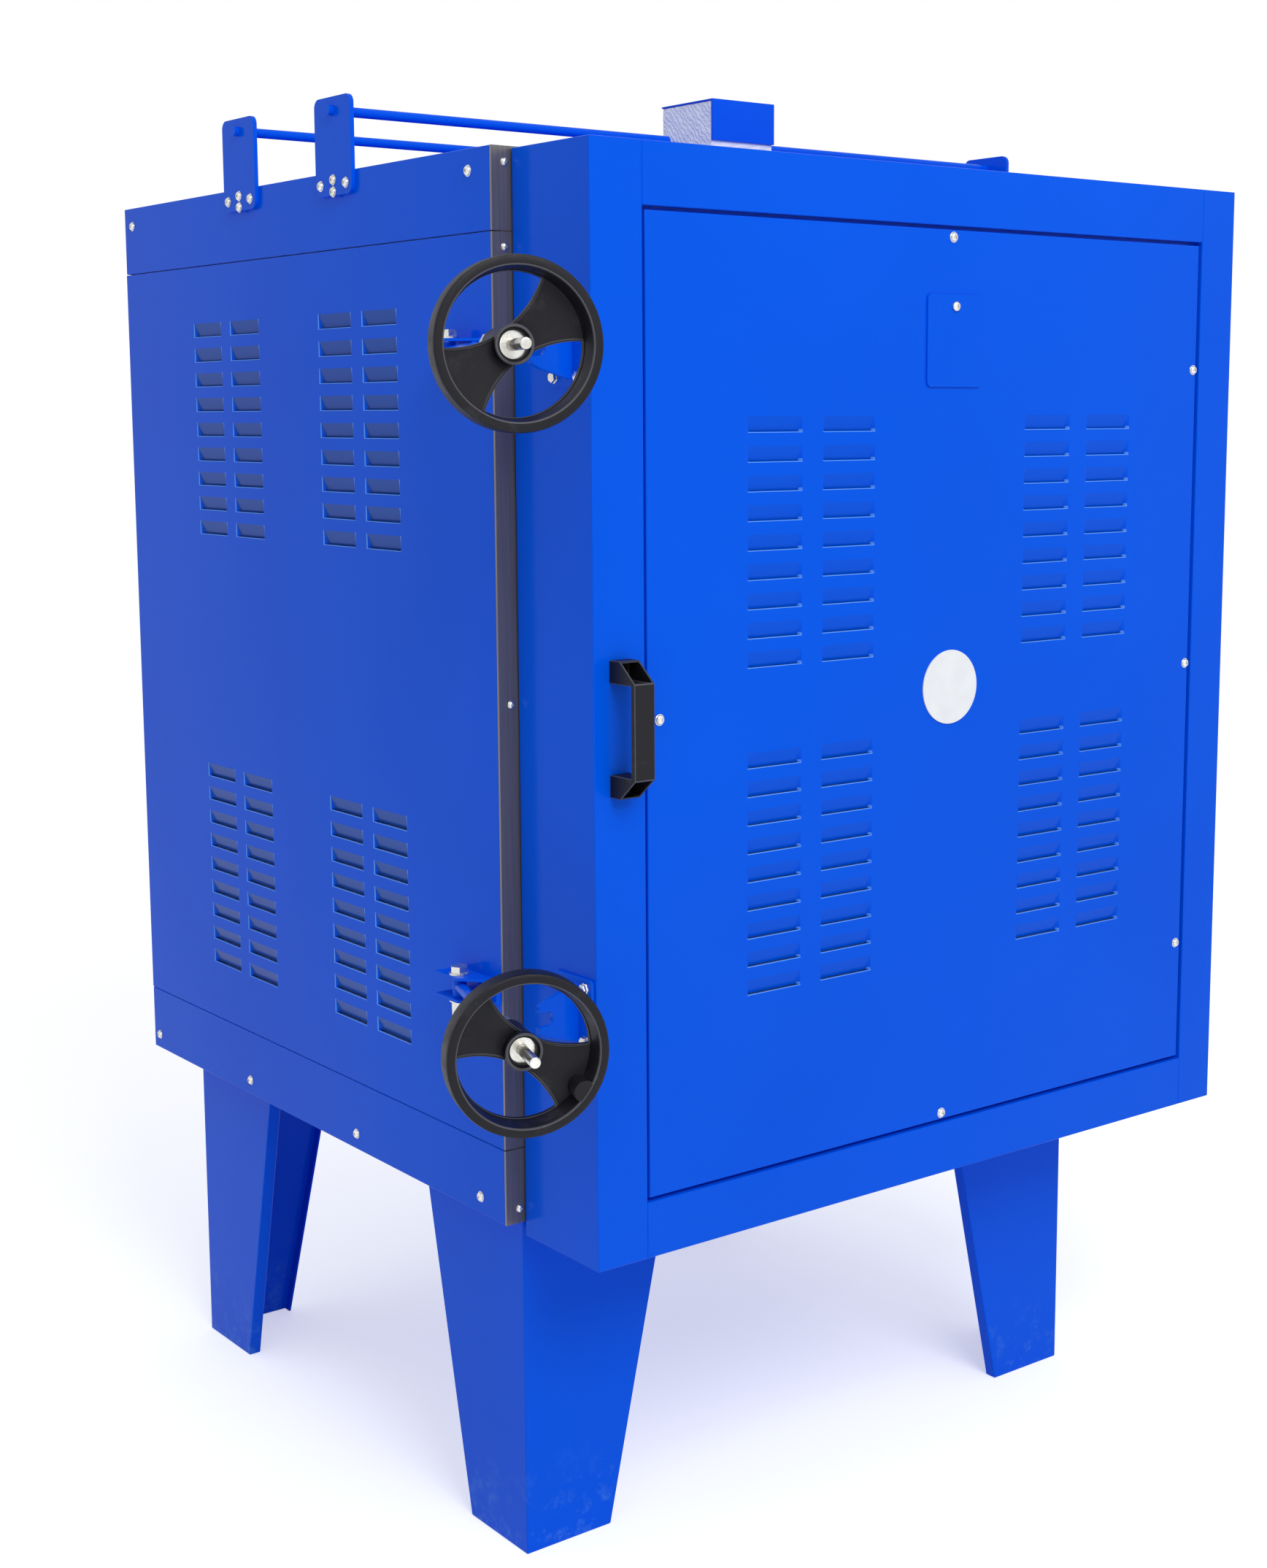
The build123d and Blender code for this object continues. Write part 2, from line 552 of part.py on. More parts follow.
def door_panel():
    """The louvred front sheet with its folded edges, set into the casing with a narrow gap all round."""
    x0, x1 = PANEL_X0 + PANEL_GAP, PANEL_X1 - PANEL_GAP
    z0, z1 = PANEL_Z0 + PANEL_GAP, PANEL_Z1 - PANEL_GAP
    tray = span(x0, x1, 0, PANEL_T + AIR_GAP, z0, z1)
    t = PANEL_T
    tray -= span(x0 + t, x1 - t, t, t + AIR_GAP + CUT_OVER, z0 + t, z1 - t)
    places = []
    for bank_x in FRONT_BANK_X:
        for lip_z in FRONT_BANK_LIP_Z:
            places += bank_places(bank_x, FRONT_COLUMN_STEP, lip_z)
    panel = louvred(tray, places)
    panel -= rod_along("Y", (FEATURE_X, -CUT_OVER, PEEPHOLE_Z), PANEL_T + 2 * CUT_OVER, PEEPHOLE_D)
    return Pos(0, PANEL_Y, 0) * panel


def door_insulation():
    """The door's lining, with a raised plug that closes the chamber mouth and the peephole through both."""
    y0 = PANEL_Y + PANEL_T + AIR_GAP
    slab = span(PANEL_X0, PANEL_X1, y0, DOOR_D, PANEL_Z0, PANEL_Z1)
    plug_x = CHAMBER_X - PLUG_CLEAR
    plug_z0, plug_z1 = CHAMBER_Z0 + PLUG_CLEAR, CHAMBER_Z1 - PLUG_CLEAR
    plug = span(-plug_x, plug_x, DOOR_D, DOOR_D + PLUG_DEPTH, plug_z0, plug_z1)
    through = DOOR_D + PLUG_DEPTH + CUT_OVER - y0 + CUT_OVER
    return slab + plug - rod_along("Y", (FEATURE_X, y0 - CUT_OVER, PEEPHOLE_Z), through, PEEPHOLE_D)


def handle():
    """A bridge handle of rectangular section with bevelled shoulders, screwed to the left stile."""
    x = -DOOR_X + HANDLE_IN
    half = HANDLE_L / 2
    c = HANDLE_CHAMFER
    outer = [(0, -half), (-HANDLE_OUT + c, -half), (-HANDLE_OUT, -half + c)]
    outer += [(-HANDLE_OUT, half - c), (-HANDLE_OUT + c, half), (0, half)]
    t = HANDLE_BAR_T
    end = half - HANDLE_FOOT_L
    d = HANDLE_INNER_CHAMFER
    inner = [(CUT_OVER, -end), (-HANDLE_OUT + t + d, -end), (-HANDLE_OUT + t, -end + d)]
    inner += [(-HANDLE_OUT + t, end - d), (-HANDLE_OUT + t + d, end), (CUT_OVER, end)]
    body = extrude(Plane.YZ * make_face(Polyline(*outer, close=True)), HANDLE_W / 2, both=True)
    body -= extrude(Plane.YZ * make_face(Polyline(*inner, close=True)), HANDLE_W, both=True)
    return Pos(x, 0, HANDLE_Z) * body


def badge():
    """The plain round plate in the middle of the panel."""
    return rod_along("Y", (FEATURE_X, PANEL_Y - BADGE_T, BADGE_Z), BADGE_T, BADGE_D)


def peephole_cover():
    """A small square plate that hangs from one screw and swings aside from the peephole."""
    y1 = PANEL_Y - SEAT_CLEAR
    y0 = y1 - COVER_T
    x0, x1 = FEATURE_X - COVER_W / 2, FEATURE_X + COVER_W / 2
    plate = span(x0, x1, y0, y1, COVER_TOP_Z - COVER_H, COVER_TOP_Z)
    plate = fillet(plate.edges().filter_by(Axis.Y), COVER_CORNER)
    hole_d = COVER_SCREW_D + 2 * RUN_CLEAR
    return plate - rod_along("Y", (FEATURE_X, y0 - CUT_OVER, COVER_PIVOT_Z), COVER_T + 2 * CUT_OVER, hole_d)


def peephole_screw():
    """The pivot screw of the peephole cover: a shank on the panel and a domed head over the plate."""
    head_y = PANEL_Y - SEAT_CLEAR - COVER_T - SEAT_CLEAR
    shank = rod_along("Y", (FEATURE_X, head_y, COVER_PIVOT_Z), PANEL_Y - head_y, COVER_SCREW_D)
    front_y = head_y - COVER_SCREW_HEAD_T
    head = rod_along("Y", (FEATURE_X, front_y, COVER_PIVOT_Z), COVER_SCREW_HEAD_T, COVER_SCREW_HEAD_D)
    return shank + head


# Hinges
def cabinet_hinges():
    """The fixed halves of the two lift-off hinges: a leaf on the cabinet side, a knuckle and the pin."""
    halves = []
    for z in CLAMP_LEVELS.values():
        low = z - HINGE_KNUCKLE_H
        top = z - SEAT_CLEAR
        start = (HINGE_X, HINGE_AXIS_Y, low)
        half = rod_along("Z", start, top - low, HINGE_BARREL_D)
        half += span(SIDE_X, SIDE_X + HINGE_LEAF_T, HINGE_AXIS_Y, FRONT_Y + HINGE_LEAF_L, low, top)
        half += rod_along("Z", start, 2 * HINGE_KNUCKLE_H + HINGE_PIN_TAIL, HINGE_PIN_D)
        halves.append(half)
    return halves


def door_hinges():
    """The moving halves of the hinges: a leaf on the door's edge, an arm and a knuckle over the pin."""
    halves = []
    for z in CLAMP_LEVELS.values():
        high = z + HINGE_KNUCKLE_H
        y_arm = HINGE_AXIS_Y + HINGE_ARM_T / 2
        half = rod_along("Z", (HINGE_X, HINGE_AXIS_Y, z), HINGE_KNUCKLE_H, HINGE_BARREL_D)
        half += span(DOOR_X, DOOR_X + HINGE_LEAF_T, y_arm - HINGE_DOOR_LEAF_L, y_arm, z, high)
        half += span(DOOR_X, HINGE_X, y_arm - HINGE_ARM_T, y_arm, z, high)
        bore_d = HINGE_PIN_D + 2 * RUN_CLEAR
        bore_h = HINGE_KNUCKLE_H + 2 * CUT_OVER
        half -= rod_along("Z", (HINGE_X, HINGE_AXIS_Y, z - CUT_OVER), bore_h, bore_d)
        halves.append(half)
    return halves


def build():
    """Every named piece of the kiln; like pieces on one body share a name and stay separate solids."""
    stand_x0, stand_x1 = -SIDE_X + STAND_INSET_LEFT, SIDE_X - STAND_INSET_RIGHT
    stand_y0, stand_y1 = FRONT_Y + STAND_INSET_FRONT, BACK_Y - STAND_INSET_BACK
    parts = {
        "front_left_leg": leg(stand_x0, stand_y0, True, True),
        "front_right_leg": leg(stand_x1, stand_y0, False, True),
        "back_left_leg": leg(stand_x0, stand_y1, True, False),
        "back_right_leg": leg(stand_x1, stand_y1, False, False),
        "base_tray": base_tray(),
        "roof_cap": roof_cap(),
        "left_side_panel": side_panel(False),
        "right_side_panel": side_panel(True),
        "back_panel": back_panel(),
        "front_frame": Compound(front_frame()),
        "roof_uprights": Compound(roof_uprights()),
        "cross_rods": Compound(cross_rods()),
        "door_panel": door_panel(),
        "door_insulation": door_insulation(),
        "door_handle": handle(),
        "door_badge": badge(),
        "door_hinges": Compound(door_hinges()),
        "cabinet_hinges": Compound(cabinet_hinges()),
        "peephole_cover": peephole_cover(),
        "peephole_screw": peephole_screw(),
        "clamp_clevises": Compound(clevises()),
        "clamp_pivot_bolts": Compound(pivot_bolts()),
    }
    parts.update(lining())
    parts.update(vent_parts())
    parts.update(door_frame())
    wheels = {"upper": handwheel(UPPER_WHEEL_TURN, False), "lower": handwheel(LOWER_WHEEL_TURN, True)}
    for label, z in CLAMP_LEVELS.items():
        parts[f"{label}_swing_rod"] = swung(z) * swing_rod()
        parts[f"{label}_handwheel"] = swung(z) * wheels[label]
        parts[f"{label}_wheel_insert"] = swung(z) * wheel_insert()
        parts[f"{label}_fork_bracket"] = fork_bracket(z)
    return parts


def main():
    """Write one file per piece, with the origin on the floor in the middle of the ground the kiln covers."""
    parts = build()
    boxes = [shape.bounding_box() for shape in parts.values()]
    x0, x1 = min(box.min.X for box in boxes), max(box.max.X for box in boxes)
    y0, y1 = min(box.min.Y for box in boxes), max(box.max.Y for box in boxes)
    centre = Pos(-(x0 + x1) / 2, -(y0 + y1) / 2, 0)
    os.makedirs("parts", exist_ok=True)
    for name, shape in parts.items():
        export_step(centre * shape, f"parts/{name}.step")
        print(name, len(shape.solids()), round(shape.volume))
    print("origin at", (x0 + x1) / 2, (y0 + y1) / 2, "covers", x1 - x0, y1 - y0)


main()
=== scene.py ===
"""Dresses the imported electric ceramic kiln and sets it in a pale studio.

Lengths are metres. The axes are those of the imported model: +X right, +Y back, +Z up.
"""

import json
import logging
from contextlib import contextmanager
from dataclasses import dataclass
from enum import Enum
from math import cos, pi, radians, sin
from typing import Callable, Iterator, Sequence

import bmesh
import bpy
from mathutils import Matrix, Vector


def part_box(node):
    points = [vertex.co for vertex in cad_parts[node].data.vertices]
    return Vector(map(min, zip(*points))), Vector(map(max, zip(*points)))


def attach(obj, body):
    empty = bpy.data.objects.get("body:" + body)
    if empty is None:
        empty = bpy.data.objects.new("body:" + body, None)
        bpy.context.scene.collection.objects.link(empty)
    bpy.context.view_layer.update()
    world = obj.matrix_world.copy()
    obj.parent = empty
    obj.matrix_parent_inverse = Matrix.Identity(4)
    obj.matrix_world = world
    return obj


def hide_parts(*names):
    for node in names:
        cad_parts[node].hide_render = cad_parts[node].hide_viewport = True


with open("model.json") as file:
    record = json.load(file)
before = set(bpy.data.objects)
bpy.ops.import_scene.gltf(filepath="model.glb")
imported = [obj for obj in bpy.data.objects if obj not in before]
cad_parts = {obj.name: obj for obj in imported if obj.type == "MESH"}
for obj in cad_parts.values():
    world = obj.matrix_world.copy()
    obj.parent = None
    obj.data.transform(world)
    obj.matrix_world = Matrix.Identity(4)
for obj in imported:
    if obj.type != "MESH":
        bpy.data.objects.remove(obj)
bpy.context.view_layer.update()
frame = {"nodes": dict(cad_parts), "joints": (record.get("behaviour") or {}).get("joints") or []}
LOG = logging.getLogger("kiln")
MM = 0.001
# Places nearer than this lie on the same line of a sheet, and corners nearer than SAME are one.
NEAR = 1e-5
SAME = 1e-6

Piece = bpy.types.Object
Socket = bpy.types.NodeSocket
Material = bpy.types.Material
Test = Callable[[Vector, Vector], bool]
Triple = Sequence[float]
Pairs = Sequence[tuple[float, float]]


class Pick(Enum):
    """What an edit-mode selection is made of."""

    VERT = "VERT"
    EDGE = "EDGE"
    FACE = "FACE"


class Facing(Enum):
    """Which way a wall of bricks faces, and so how its courses are turned."""

    UP = (0.0, 0.0, 0.0)
    SIDE = (pi / 2, 0.0, pi / 2)
    FRONT = (pi / 2, 0.0, 0.0)


# Modelling helpers
def deselect_all() -> None:
    """Leaves nothing selected."""
    for item in bpy.context.selected_objects:
        item.select_set(False)


def activate(piece: Piece) -> None:
    """Makes the piece the only selected object and the active one."""
    deselect_all()
    piece.select_set(True)
    bpy.context.view_layer.objects.active = piece


@contextmanager
def editing(piece: Piece) -> Iterator[None]:
    """Opens the piece in edit mode with nothing selected and closes it afterwards.

    Args:
        piece: the mesh object to edit.
    """
    activate(piece)
    bpy.ops.object.mode_set(mode="EDIT")
    bpy.ops.mesh.select_all(action="DESELECT")
    yield
    bpy.ops.object.mode_set(mode="OBJECT")


def select_whole() -> None:
    """Selects the whole mesh that is open in edit mode."""
    bpy.ops.mesh.select_all(action="SELECT")


def weld(distance: float = SAME) -> None:
    """Makes one corner, in edit mode, of those that are nearer than a distance."""
    select_whole()
    bpy.ops.mesh.remove_doubles(threshold=distance)


def pick(piece: Piece, kind: Pick, test: Test) -> None:
    """Selects, in edit mode, the parts of a mesh that pass a test.

    Args:
        piece: the mesh object that is open in edit mode.
        kind: vertices, edges or faces.
        test: takes the middle and the direction (normal, or an edge's run).
    """
    bpy.ops.mesh.select_mode(type=kind.value)
    bpy.ops.mesh.select_all(action="DESELECT")
    shape = bmesh.from_edit_mesh(piece.data)
    if kind is Pick.VERT:
        found = [(v, v.co, v.normal) for v in shape.verts]
    elif kind is Pick.EDGE:
        ends = [(e, e.verts[0].co, e.verts[1].co) for e in shape.edges]
        found = [(e, (a + b) / 2, (b - a).normalized()) for e, a, b in ends]
    else:
        found = [(f, f.calc_center_median(), f.normal) for f in shape.faces]
    for item, middle, direction in found:
        if test(middle, direction):
            item.select_set(True)
    bmesh.update_edit_mesh(piece.data)


def freeze(piece: Piece) -> None:
    """Moves the piece's place, turn and size into its mesh."""
    activate(piece)
    bpy.ops.object.transform_apply(location=True, rotation=True, scale=True)


def name_piece(piece: Piece, name: str) -> Piece:
    """Names the object and its mesh alike."""
    piece.name = piece.data.name = name
    return piece


def link(name: str, data: bpy.types.ID) -> bpy.types.Object:
    """Adds an object for its data to the scene.

    Args:
        name: the object's name.
        data: its mesh, camera or lamp.

    Returns:
        The object.
    """
    item = bpy.data.objects.new(name, data)
    bpy.context.collection.objects.link(item)
    return item


def placed(place: Triple, turn: float = 0.0, axis: str = "Z") -> Matrix:
    """The matrix that turns about an axis and then moves to a place."""
    return Matrix.Translation(place) @ Matrix.Rotation(turn, 4, axis)


def looking(way: Triple) -> Matrix:
    """The matrix that turns +Z to look a way."""
    return Vector(way).to_track_quat("Z", "Y").to_matrix().to_4x4()


def box_of(node: str) -> tuple[Vector, Vector]:
    """The lowest and the highest corner of a CAD solid."""
    low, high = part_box(node)
    return Vector(low), Vector(high)


def block(name: str, low: Triple, high: Triple) -> Piece:
    """Adds a block between two corners, as the start of a piece.

    Args:
        name: the piece's name.
        low: its lowest corner.
        high: its highest corner.

    Returns:
        The block, with its place in its mesh.
    """
    deselect_all()
    low, high = Vector(low), Vector(high)
    bpy.ops.mesh.primitive_cube_add(size=1, location=(low + high) / 2)
    piece = bpy.context.active_object
    piece.scale = high - low
    freeze(piece)
    return name_piece(piece, name)


def turned(name: str, profile: Pairs, sides: int = 32) -> Piece:
    """Turns a closed round shape about Z, ring by ring, as on a lathe.

    Args:
        name: the piece's name.
        profile: pairs of height and radius, from the bottom to the top.
        sides: how many sides the round has.

    Returns:
        The piece about the Z axis.
    """
    deselect_all()
    (z0, r0), (z1, r1) = profile[0], profile[1]
    bpy.ops.mesh.primitive_cone_add(
        vertices=sides, radius1=r0, radius2=r1, depth=z1 - z0, location=(0, 0, (z0 + z1) / 2)
    )
    piece = bpy.context.active_object
    freeze(piece)
    with editing(piece):
        pick(piece, Pick.FACE, lambda middle, normal: normal.z > 0.99 and abs(middle.z - z1) < SAME)
        for (z_a, r_a), (z_b, r_b) in zip(profile[1:], profile[2:]):
            bpy.ops.mesh.extrude_region_move(TRANSFORM_OT_translate={"value": (0, 0, z_b - z_a)})
            scale = r_b / r_a
            bpy.ops.transform.resize(value=(scale, scale, 1), center_override=(0, 0, z_b))
    return name_piece(piece, name)


def outline(name: str, corners: Sequence[Triple]) -> Piece:
    """Draws a closed outline, corner by corner.

    Args:
        name: the piece's name.
        corners: the places of its corners, in order.

    Returns:
        The outline, as edges alone.
    """
    deselect_all()
    bpy.ops.mesh.primitive_plane_add(size=MM)
    piece = bpy.context.active_object
    with editing(piece):
        bpy.ops.mesh.select_mode(type="VERT")
        select_whole()
        bpy.ops.mesh.merge(type="CENTER")
        bpy.ops.transform.translate(value=corners[0])
        for start, end in zip(corners, [*corners[1:], corners[0]]):
            step = Vector(end) - Vector(start)
            bpy.ops.mesh.extrude_region_move(TRANSFORM_OT_translate={"value": step})
        weld()
    return name_piece(piece, name)


def refine(piece: Piece, kind: str, **settings: object) -> Piece:
    """Adds a modifier, sets it and applies it.

    Args:
        piece: the mesh object.
        kind: the modifier's type.
        settings: its values by name.

    Returns:
        The same piece.
    """
    activate(piece)
    modifier = piece.modifiers.new(kind.lower(), kind)
    for key, value in settings.items():
        setattr(modifier, key, value)
    bpy.ops.object.modifier_apply(modifier=modifier.name)
    return piece


def wind(piece: Piece, rise: float, turns: int, steps: int) -> Piece:
    """Winds a closed section about Z.

    Args:
        piece: the section, as edges alone.
        rise: how far it climbs in one turn.
        turns: how many turns it makes.
        steps: how many steps make one turn.

    Returns:
        The same piece.
    """
    return refine(
        piece, "SCREW", axis="Z", angle=2 * pi, screw_offset=rise, iterations=turns,
        steps=steps, render_steps=steps, use_merge_vertices=True,
    )


def spun(name: str, profile: Pairs, sides: int = 96) -> Piece:
    """Spins a closed profile about Z.

    Args:
        name: the piece's name.
        profile: pairs of radius and height, in millimetres, round the section.
        sides: how many sides the round has.

    Returns:
        The ring about the Z axis.
    """
    section = outline(name, [(radius * MM, 0, height * MM) for radius, height in profile])
    ring = wind(section, 0, 1, sides)
    with editing(ring):
        weld()
        bpy.ops.mesh.normals_make_consistent(inside=False)
    return ring


def prism(name: str, corners: Sequence[Triple], run: Triple) -> Piece:
    """Pulls a closed outline along a straight run.

    Args:
        name: the piece's name.
        corners: the outline's corners.
        run: how far and which way it is pulled.

    Returns:
        The solid.
    """
    solid = outline(name, corners)
    with editing(solid):
        select_whole()
        bpy.ops.mesh.edge_face_add()
        bpy.ops.mesh.extrude_region_move(TRANSFORM_OT_translate={"value": run})
        select_whole()
        bpy.ops.mesh.normals_make_consistent(inside=False)
    return solid


def round_edges(
    piece: Piece, width: float, steps: int = 2, angle: float = 35, finish: int = -1, clamp: bool = True
) -> Piece:
    """Rounds every edge sharper than an angle, as folded sheet and mouldings are.

    Args:
        piece: the mesh object.
        width: how far the rounding reaches from an edge.
        steps: how many facets make the rounding.
        angle: the least angle, in degrees, that is rounded.
        finish: which of the piece's finishes the rounding gets, or -1 for that of its neighbours.
        clamp: whether short edges hold the rounding back.

    Returns:
        The same piece.
    """
    return refine(
        piece, "BEVEL", width=width, segments=steps, limit_method="ANGLE",
        angle_limit=radians(angle), material=finish, use_clamp_overlap=clamp,
    )


def smooth(piece: Piece, angle: float = 38) -> Piece:
    """Shades the piece smooth except across sharper edges, with its broad faces kept flat."""
    activate(piece)
    bpy.ops.object.shade_smooth_by_angle(angle=radians(angle))
    return refine(piece, "WEIGHTED_NORMAL", keep_sharp=True, weight=100)


def combine(piece: Piece, tool: Piece, how: str) -> Piece:
    """Works the tool's shape into the piece and removes the tool.

    Args:
        piece: the piece that is kept.
        tool: the shape that is worked in.
        how: DIFFERENCE, UNION or INTERSECT.

    Returns:
        The same piece.
    """
    refine(piece, "BOOLEAN", object=tool, operation=how, solver="EXACT")
    bpy.data.objects.remove(tool)
    return piece


def cut(piece: Piece, tool: Piece) -> None:
    """Takes the tool's shape out of the piece and removes the tool."""
    combine(piece, tool, "DIFFERENCE")


def clean(piece: Piece, merge: float, flat: float) -> Piece:
    """Clears the scraps that cuts leave.

    Args:
        piece: the mesh object.
        merge: corners nearer than this become one.
        flat: faces that meet at less than this angle, in degrees, become one.

    Returns:
        The same piece.
    """
    with editing(piece):
        select_whole()
        bpy.ops.mesh.dissolve_limited(angle_limit=radians(flat))
        weld(merge)
    return piece


def finish_faces(piece: Piece, index: int, test: Test) -> None:
    """Gives the faces that pass a test one of the piece's finishes.

    Args:
        piece: the mesh object.
        index: which of its finishes they get.
        test: takes a face's middle and normal.
    """
    with editing(piece):
        pick(piece, Pick.FACE, test)
        piece.active_material_index = index
        bpy.ops.object.material_slot_assign()


def join(name: str, parts: Sequence[Piece]) -> Piece:
    """Makes one piece of several.

    Args:
        name: the new piece's name.
        parts: the pieces that it is made of.

    Returns:
        The new piece.
    """
    activate(parts[0])
    for part in parts:
        part.select_set(True)
    bpy.ops.object.join()
    return name_piece(bpy.context.active_object, name)


def copy_at(source: Piece, name: str, place: Matrix) -> Piece:
    """Copies a modelled piece, with its own mesh, to a place.

    Args:
        source: the piece that was modelled once.
        name: the copy's name.
        place: where the copy goes.

    Returns:
        The copy, with its place in its mesh.
    """
    twin = link(name, source.data.copy())
    twin.data.transform(place)
    return name_piece(twin, name)


def from_node(node: str, name: str, width: float = 0.0, steps: int = 2) -> Piece:
    """Copies a CAD solid as the start of a piece and rounds its edges.

    Args:
        node: the CAD node's name.
        name: the new piece's name.
        width: how far the rounding reaches from an edge, or 0 for none.
        steps: how many facets make the rounding.

    Returns:
        The new piece.
    """
    piece = link(name, frame["nodes"][node].data.copy())
    piece.data.materials.clear()
    activate(piece)
    bpy.ops.mesh.customdata_custom_splitnormals_clear()
    with editing(piece):
        weld(NEAR)
        bpy.ops.mesh.dissolve_limited(angle_limit=radians(0.3))
    if width:
        round_edges(piece, width, steps)
    smooth(piece)
    return name_piece(piece, name)


# Finishes
class Tree:
    """Builds the node tree of a material or of the world."""

    def __init__(self, owner: bpy.types.ID) -> None:
        """Opens the owner's node tree.

        Args:
            owner: the material or the world.
        """
        owner.use_nodes = True
        self.nodes = owner.node_tree.nodes
        self.links = owner.node_tree.links

    def fill(self, node: bpy.types.Node, inputs: dict[str | int, object]) -> None:
        """Fills a node's inputs: a socket is linked and anything else is a plain value.

        Args:
            node: the node.
            inputs: what goes in, by the input's name or number.
        """
        for key, value in inputs.items():
            if isinstance(value, Socket):
                self.links.new(value, node.inputs[key])
            else:
                node.inputs[key].default_value = value

    def add(self, kind: str, inputs: dict[str | int, object], **settings: object) -> bpy.types.Node:
        """Adds a node.

        Args:
            kind: its type, less the ShaderNode before it.
            inputs: what goes in, by the input's name or number.
            settings: its own properties by name.

        Returns:
            The node.
        """
        node = self.nodes.new(f"ShaderNode{kind}")
        for key, value in settings.items():
            setattr(node, key, value)
        self.fill(node, inputs)
        return node

    def seen_rays(self) -> Socket:
        """A value of one where the camera, a reflection or a transparent part looks, and else of nothing.

        Returns:
            The value.
        """
        path = self.add("LightPath", {}).outputs
        value = path["Is Camera Ray"]
        for ray in ("Is Glossy Ray", "Is Transmission Ray"):
            value = self.add("Math", {0: value, 1: path[ray]}, operation="MAXIMUM").outputs["Value"]
        return value


class Shade(Tree):
    """Builds one material round its shader."""

    def __init__(self, name: str) -> None:
        """Starts an empty material with its shader and object coordinates.

        Args:
            name: the material's name.
        """
        self.material = bpy.data.materials.new(name)
        super().__init__(self.material)
        self.shader = self.nodes["Principled BSDF"]
        self.place = self.add("TexCoord", {}).outputs["Object"]

    def set(self, **inputs: object) -> None:
        """Fills the shader's own inputs; an underscore stands for a space."""
        self.fill(self.shader, {key.replace("_", " "): value for key, value in inputs.items()})

    def mapped(self, scale: Triple, turn: Triple = (0, 0, 0)) -> Socket:
        """Object coordinates, stretched and turned."""
        return self.add("Mapping", {"Vector": self.place, "Scale": scale, "Rotation": turn}).outputs["Vector"]

    def noise(self, scale: float, detail: float = 3, rough: float = 0.5, at: Socket | None = None) -> Socket:
        """A noise value over the surface."""
        inputs = {"Vector": at or self.place, "Scale": scale, "Detail": detail, "Roughness": rough}
        return self.add("TexNoise", inputs).outputs["Fac"]

    def ramp(self, value: Socket, *stops: tuple[float, Triple]) -> Socket:
        """Turns a value into a colour between two stops.

        Args:
            value: the value.
            stops: the place and the colour of each stop.

        Returns:
            The colour.
        """
        node = self.add("ValToRGB", {"Fac": value})
        for element, (position, colour) in zip(node.color_ramp.elements, stops):
            element.position = position
            element.color = (*colour, 1)
        return node.outputs["Color"]

    def between(self, value: Socket, *limits: float) -> Socket:
        """Maps a value from one range to another: from low, from high, to low, to high."""
        names = ("From Min", "From Max", "To Min", "To Max")
        return self.add("MapRange", {"Value": value, **dict(zip(names, limits))}).outputs["Result"]

    def height(self) -> Socket:
        """The height above the floor."""
        return self.add("SeparateXYZ", {"Vector": self.place}).outputs["Z"]

    def times(self, first: Socket, second: Socket | float) -> Socket:
        """One value times another."""
        return self.add("Math", {0: first, 1: second}, operation="MULTIPLY").outputs["Value"]

    def blend(self, share: Socket, first: Socket, second: Socket | Triple) -> Socket:
        """Blends two colours by a share."""
        return self.add("Mix", {"Factor": share, 6: first, 7: second}, data_type="RGBA").outputs[2]

    def bump(self, value: Socket, depth: float) -> None:
        """Adds relief over any relief that is there already.

        Args:
            value: the relief's height, from nothing to one.
            depth: how high one stands.
        """
        node = self.add("Bump", {"Height": value, "Distance": depth, "Strength": 1})
        normal = self.shader.inputs["Normal"]
        if normal.is_linked:
            self.links.new(normal.links[0].from_socket, node.inputs["Normal"])
        self.links.new(node.outputs["Normal"], normal)


class Finish:
    """A finish that makes its material. Each kind mixes its own."""

    name: str

    def mix(self, shade: Shade) -> None:
        """Mixes the material's colour, gloss and relief."""
        raise NotImplementedError

    def build(self) -> Material:
        """Makes the material.

        Returns:
            The material.
        """
        shade = Shade(self.name)
        self.mix(shade)
        return shade.material


@dataclass(frozen=True)
class BlueEnamel(Finish):
    """Stoved glossy enamel on sheet steel, with faint waves, orange peel and, low down, dust and scuffs."""

    name: str = "blue_enamel"
    colour: Triple = (0.0, 0.106, 0.84)
    shade: Triple = (0.0, 0.094, 0.77)
    dust: Triple = (0.07, 0.24, 0.80)
    dust_top: float = 0.0
    wave: float = 2.5 * MM

    def mix(self, paint: Shade) -> None:
        """Mixes the enamel.

        Args:
            paint: the material in the making.
        """
        colour = paint.ramp(paint.noise(2.1, 4), (0.3, self.shade), (0.72, self.colour))
        if self.dust_top:
            fall = paint.between(paint.height(), 0.0, self.dust_top, 1.0, 0.0)
            specks = paint.between(paint.noise(42, 10, 0.74), 0.52, 0.68, 0.0, 0.7)
            colour = paint.blend(paint.times(fall, specks), colour, (*self.dust, 1))
        gloss = paint.between(paint.noise(7, 5), 0.3, 0.7, 0.13, 0.21)
        paint.set(Base_Color=colour, Roughness=gloss, Specular_IOR_Level=0.06)
        paint.bump(paint.noise(2.4, 1), self.wave)
        paint.bump(paint.noise(420, 2), 0.02 * MM)


@dataclass(frozen=True)
class BrushedStainless(Finish):
    """Bare stainless strip, brushed along its length, a little brown from the heat."""

    name: str = "stainless_steel"

    def mix(self, steel: Shade) -> None:
        """Mixes the steel.

        Args:
            steel: the material in the making.
        """
        grain = steel.noise(1, 4, 0.6, steel.mapped((900, 900, 7)))
        colour = steel.ramp(grain, (0.3, (0.170, 0.155, 0.150)), (0.7, (0.235, 0.215, 0.205)))
        steel.set(Base_Color=colour, Roughness=steel.between(grain, 0.2, 0.8, 0.28, 0.38), Metallic=0.6)
        steel.bump(grain, 0.01 * MM)


